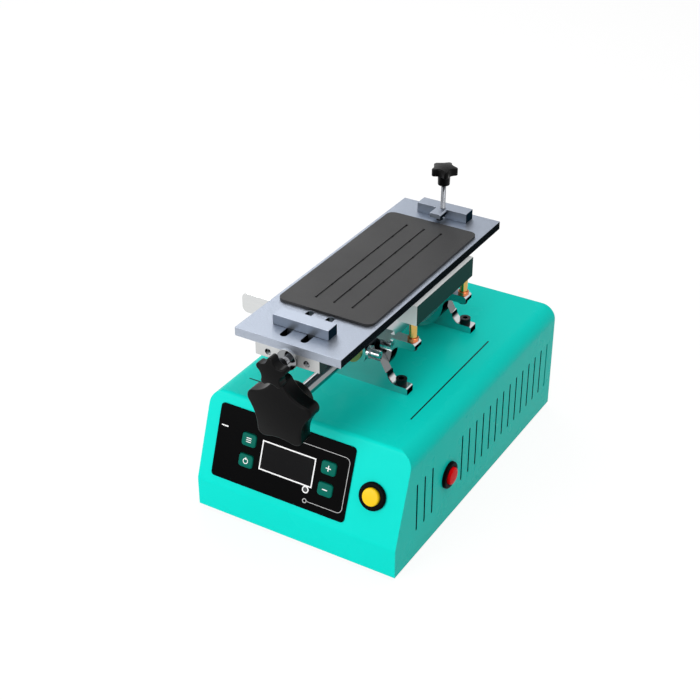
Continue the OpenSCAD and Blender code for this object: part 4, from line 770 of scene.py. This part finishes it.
class SEPARATOR_OT_prints(bpy.types.Operator):
    """Prints the white frame round the window, the thin line with its ring, and the deck's lines"""
    bl_idname = "separator.prints"
    bl_label = "Printed lines"

    def execute(self, context):
        for name, finish, slot, make in (
                ("window_frame_print", "white_print", "overlay_black", self.frame_marks),
                ("panel_line_print", "grey_print", "overlay_black", self.panel_line),
                ("deck_line_print", "black_print", "teal_coat", self.deck_lines)):
            bm = bmesh.new()
            make(bm, sizes().print_t)
            add_piece(name, bm, finish, "housing")
        return {"FINISHED"}

    def frame_marks(self, bm, thin):
        """The window's frame, the ring round the lamp and a short dash."""
        level, frame_w = OVERLAY_FACE + thin / 2, sizes().frame_w
        window = rake_mid("display_window")
        wide, high = (size * MM + frame_w for size in WINDOW_SIZE)
        for s in (-1, 1):
            slab(bm, (window.x, window.y + s * high / 2, level), (wide + frame_w, frame_w, thin))
            slab(bm, (window.x + s * wide / 2, window.y, level), (frame_w, high - frame_w, thin))
        (x, y), (dash_w, dash_h) = FACE_DASH
        slab(bm, (x * MM, y * MM, level), (dash_w * MM, dash_h * MM, thin))
        lamp, ring_r, ring_w = rake_mid("output_lamp"), 2.3 * MM, 0.9 * MM
        ring_on(bm, (lamp.x, lamp.y, level), ring_r, ring_w, thin)
        bm.transform(rake_frame())

    def panel_line(self, bm, thin):
        """The thin line that starts at a small ring and turns two corners."""
        level, line = OVERLAY_FACE + thin / 2, sizes().line_w
        left, right, low, top, turn = (v * MM for v in (7.8, 38.5, 12.7, 54.6, 4.0))
        ring_r, ring_w, longer = 1.5 * MM, 0.6 * MM, 14 * MM
        run = right - turn - left
        ring_on(bm, (left, low, level), ring_r, ring_w, thin)
        slab(bm, ((left + ring_r + right - turn) / 2, low, level), (run - ring_r, line, thin))
        slab(bm, (right, (low + top) / 2, level), (line, top - low - 2 * turn, thin))
        slab(bm, ((left + right - turn - longer) / 2, top, level), (run + longer, line, thin))
        step = math.pi / 2 / CORNER_STEPS
        for y, start in ((low + turn, -math.pi / 2), (top - turn, 0)):
            for i in range(CORNER_STEPS):
                before = set(bm.verts)
                slab(bm, (turn, 0, 0), (line, turn * step * CORNER_OVERLAP, thin))
                fresh = [v for v in bm.verts if v not in before]
                spin = Matrix.Rotation(start + step * (i + 0.5), 3, "Z")
                bmesh.ops.rotate(bm, cent=(0, 0, 0), matrix=spin, verts=fresh)
                move(bm, (right - turn, y, level), fresh)
        bm.transform(rake_frame())

    def deck_lines(self, bm, thin):
        """The two plain lines on the deck."""
        for (x, y), (wide, deep) in DECK_LINES:
            slab(bm, (x * MM, y * MM, COVER_HIGH.z + thin / 2), (wide * MM, deep * MM, thin))


# Threads: where a ridge is up, starts down and ends, as shares of the pitch
RIDGE = (0.4, 0.55, 0.95)
THREAD_STEPS = 20
CORE_STEPS = 32
PRESS_PITCH = 0.7 * MM
PRESS_DEPTH_SHARE = 0.6
CLAMP_PITCH = 1.0 * MM
CLAMP_SCREW_R = 3.0 * MM


def threaded_rod(radius, low, high, pitch, depth):
    """A rod along Z with a swept thread that is sunk in its core."""
    bm = bmesh.new()
    turns = int((high - low) / pitch) - 1
    root = radius - depth
    up, down, end = (share * pitch for share in RIDGE)
    points = [(root, 0), (radius, up), (radius, down), (root, end)]
    verts = [bm.verts.new((r, 0, low + z)) for r, z in points]
    edges = [bm.edges.new((verts[i - 1], verts[i])) for i in range(len(verts))]
    bmesh.ops.spin(bm, geom=verts + edges, cent=(0, 0, 0), axis=(0, 0, 1), angle=math.tau * turns,
                   steps=THREAD_STEPS * turns, dvec=(0, 0, pitch / THREAD_STEPS), use_merge=False,
                   use_duplicate=False)
    bmesh.ops.holes_fill(bm, edges=[e for e in bm.edges if len(e.link_faces) == 1], sides=len(points))
    core_r = root + depth / 20
    core = bmesh.ops.create_cone(bm, cap_ends=True, segments=CORE_STEPS, radius1=core_r, radius2=core_r,
                                 depth=high - low)["verts"]
    move(bm, (0, 0, (low + high) / 2), core)
    return bm


class SEPARATOR_OT_threads(bpy.types.Operator):
    """Cuts threads on the clamp screw and the press rod"""
    bl_idname = "separator.threads"
    bl_label = "Threaded rods"

    def execute(self, context):
        depth = sizes().thread_depth
        low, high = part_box("press_rod")
        bm = threaded_rod((high.x - low.x) / 2, low.z, high.z, PRESS_PITCH, depth * PRESS_DEPTH_SHARE)
        move(bm, (0, (low.y + high.y) / 2, 0))
        add_piece("press_rod_thread", bm, "turned", "press_drive", ("press_rod",))
        low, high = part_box("clamp_screw")
        bm = threaded_rod(CLAMP_SCREW_R, -high.y, -low.y, CLAMP_PITCH, depth)
        rotate(bm, math.pi / 2, "X")
        move(bm, (0, 0, (low.z + high.z) / 2))
        add_piece("clamp_screw_thread", bm, "turned", "clamp_drive", ("clamp_screw",))
        return {"FINISHED"}


class SEPARATOR_OT_ring(bpy.types.Operator):
    """Turns the ring on the front block, round the clamp screw"""
    bl_idname = "separator.ring"
    bl_label = "Block ring"

    def execute(self, context):
        ring_r, ring_t, edge, sunk = (v * MM for v in (7.9, 1.4, 0.4, 0.2))
        bm = spun([(0, 0), (ring_r - edge, 0), (ring_r, edge), (ring_r, ring_t), (0, ring_t)])
        rotate(bm, -math.pi / 2, "X")
        move(bm, (0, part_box("front_block")[0].y - sunk, node_mid("clamp_screw").z))
        add_piece("block_ring", bm, "dark_chrome", BODY_OF["front_block"])
        return {"FINISHED"}


# Stage: the camera, the tones of floor and world, and each lamp's place, width and power
CAMERA_PLACE = (0.44998, -0.80343, 0.65704)
CAMERA_TURN = (math.radians(90 - 31.477), 0.0, math.radians(30.894))
CAMERA_LENS = 72.25
SENSOR_WIDTH = 36.0
CLIP_START = 0.01
FLOOR_Z = -2.5 * MM
FLOOR_HALF = 6.0
FLOOR_TONE = 0.60
FLOOR_GLOW = 1.17
FLOOR_GLOW_SHARE = 0.75
WORLD_LIGHT = 0.36
LAMP_AIM = Vector((0, 0, 0.08))
LAMPS = {
    "key_lamp": ((-0.55, -1.35, 0.50), 0.9, 16.5),
    "top_lamp": ((0.35, 0.10, 1.30), 1.0, 7.5),
    "rear_lamp": ((-0.90, 0.80, 0.90), 0.8, 4.0),
}


class SEPARATOR_OT_stage(bpy.types.Operator):
    """Sets the pale floor, the soft lamps, the world and the camera"""
    bl_idname = "separator.stage"
    bl_label = "Stage"

    def execute(self, context):
        scene = context.scene
        lens = bpy.data.cameras.new("photo_camera")
        lens.lens = CAMERA_LENS
        lens.sensor_width = SENSOR_WIDTH
        lens.clip_start = CLIP_START
        camera = bpy.data.objects.new("photo_camera", lens)
        camera.location = CAMERA_PLACE
        camera.rotation_euler = CAMERA_TURN
        scene.collection.objects.link(camera)
        scene.camera = camera
        for name, (place, width, power) in LAMPS.items():
            light = bpy.data.lights.new(name, "AREA")
            light.size = width
            light.energy = power
            lamp = bpy.data.objects.new(name, light)
            lamp.location = place
            lamp.rotation_euler = (LAMP_AIM - Vector(place)).to_track_quat("-Z", "Y").to_euler()
            scene.collection.objects.link(lamp)
        self.floor(scene)
        self.world(scene)
        scene.view_settings.view_transform = "Standard"
        return {"FINISHED"}

    def floor(self, scene):
        """A wide floor that keeps the shadow and shows a white background."""
        bm = bmesh.new()
        bmesh.ops.create_grid(bm, x_segments=2, y_segments=2, size=FLOOR_HALF)
        mesh = bpy.data.meshes.new("pale_floor")
        bm.to_mesh(mesh)
        bm.free()
        floor = bpy.data.objects.new("pale_floor", mesh)
        floor.location = (0, 0, FLOOR_Z)
        scene.collection.objects.link(floor)
        material, tree, shader = new_material("floor_paper", Roughness=0.8)
        shader.inputs["Base Color"].default_value = (FLOOR_TONE, FLOOR_TONE, FLOOR_TONE, 1)
        seen = new_node(tree, "ShaderNodeEmission", Strength=FLOOR_GLOW)
        part = new_node(tree, "ShaderNodeMath", {"operation": "MULTIPLY"})
        part.inputs[1].default_value = FLOOR_GLOW_SHARE
        mix = new_node(tree, "ShaderNodeMixShader")
        join = tree.links.new
        join(shown_rays(tree), part.inputs[0])
        join(part.outputs["Value"], mix.inputs["Fac"])
        join(shader.outputs["BSDF"], mix.inputs[1])
        join(seen.outputs["Emission"], mix.inputs[2])
        join(mix.outputs["Shader"], tree.nodes["Material Output"].inputs["Surface"])
        mesh.materials.append(material)

    def world(self, scene):
        """A white background, and a weaker even light on the object."""
        world = bpy.data.worlds.new("studio_world")
        world.use_nodes = True
        tree = world.node_tree
        lit = tree.nodes["Background"]
        lit.inputs["Color"].default_value = (1, 1, 1, 1)
        lit.inputs["Strength"].default_value = WORLD_LIGHT
        seen = new_node(tree, "ShaderNodeBackground", Color=(1, 1, 1, 1), Strength=1.0)
        mix = new_node(tree, "ShaderNodeMixShader")
        join = tree.links.new
        join(shown_rays(tree), mix.inputs["Fac"])
        join(lit.outputs["Background"], mix.inputs[1])
        join(seen.outputs["Background"], mix.inputs[2])
        join(mix.outputs["Shader"], tree.nodes["World Output"].inputs["Surface"])
        scene.world = world


STEPS = ("stage", "finishes", "knobs", "eased", "buttons", "keys", "prints", "threads", "ring")


class SEPARATOR_PT_panel(bpy.types.Panel):
    """Lists the steps that dress the separator"""
    bl_label = "Screen separator"
    bl_space_type = "VIEW_3D"
    bl_region_type = "UI"
    bl_category = "Separator"

    def draw(self, context):
        for step in STEPS:
            self.layout.operator("separator." + step)
        for group in (context.scene.separator_colours, context.scene.separator_sizes):
            for name in group.bl_rna.properties.keys():
                if name not in ("rna_type", "name"):
                    self.layout.prop(group, name)


CLASSES = (
    SeparatorColours, SeparatorSizes, SEPARATOR_OT_finishes, SEPARATOR_OT_knobs, SEPARATOR_OT_eased,
    SEPARATOR_OT_buttons, SEPARATOR_OT_keys, SEPARATOR_OT_prints, SEPARATOR_OT_threads, SEPARATOR_OT_ring,
    SEPARATOR_OT_stage, SEPARATOR_PT_panel,
)


def register():
    for cls in CLASSES:
        bpy.utils.register_class(cls)
    bpy.types.Scene.separator_colours = PointerProperty(type=SeparatorColours)
    bpy.types.Scene.separator_sizes = PointerProperty(type=SeparatorSizes)


def unregister():
    del bpy.types.Scene.separator_sizes
    del bpy.types.Scene.separator_colours
    for cls in reversed(CLASSES):
        bpy.utils.unregister_class(cls)


def main():
    register()
    for step in STEPS:
        getattr(bpy.ops.separator, step)()


if __name__ == "__main__":
    main()
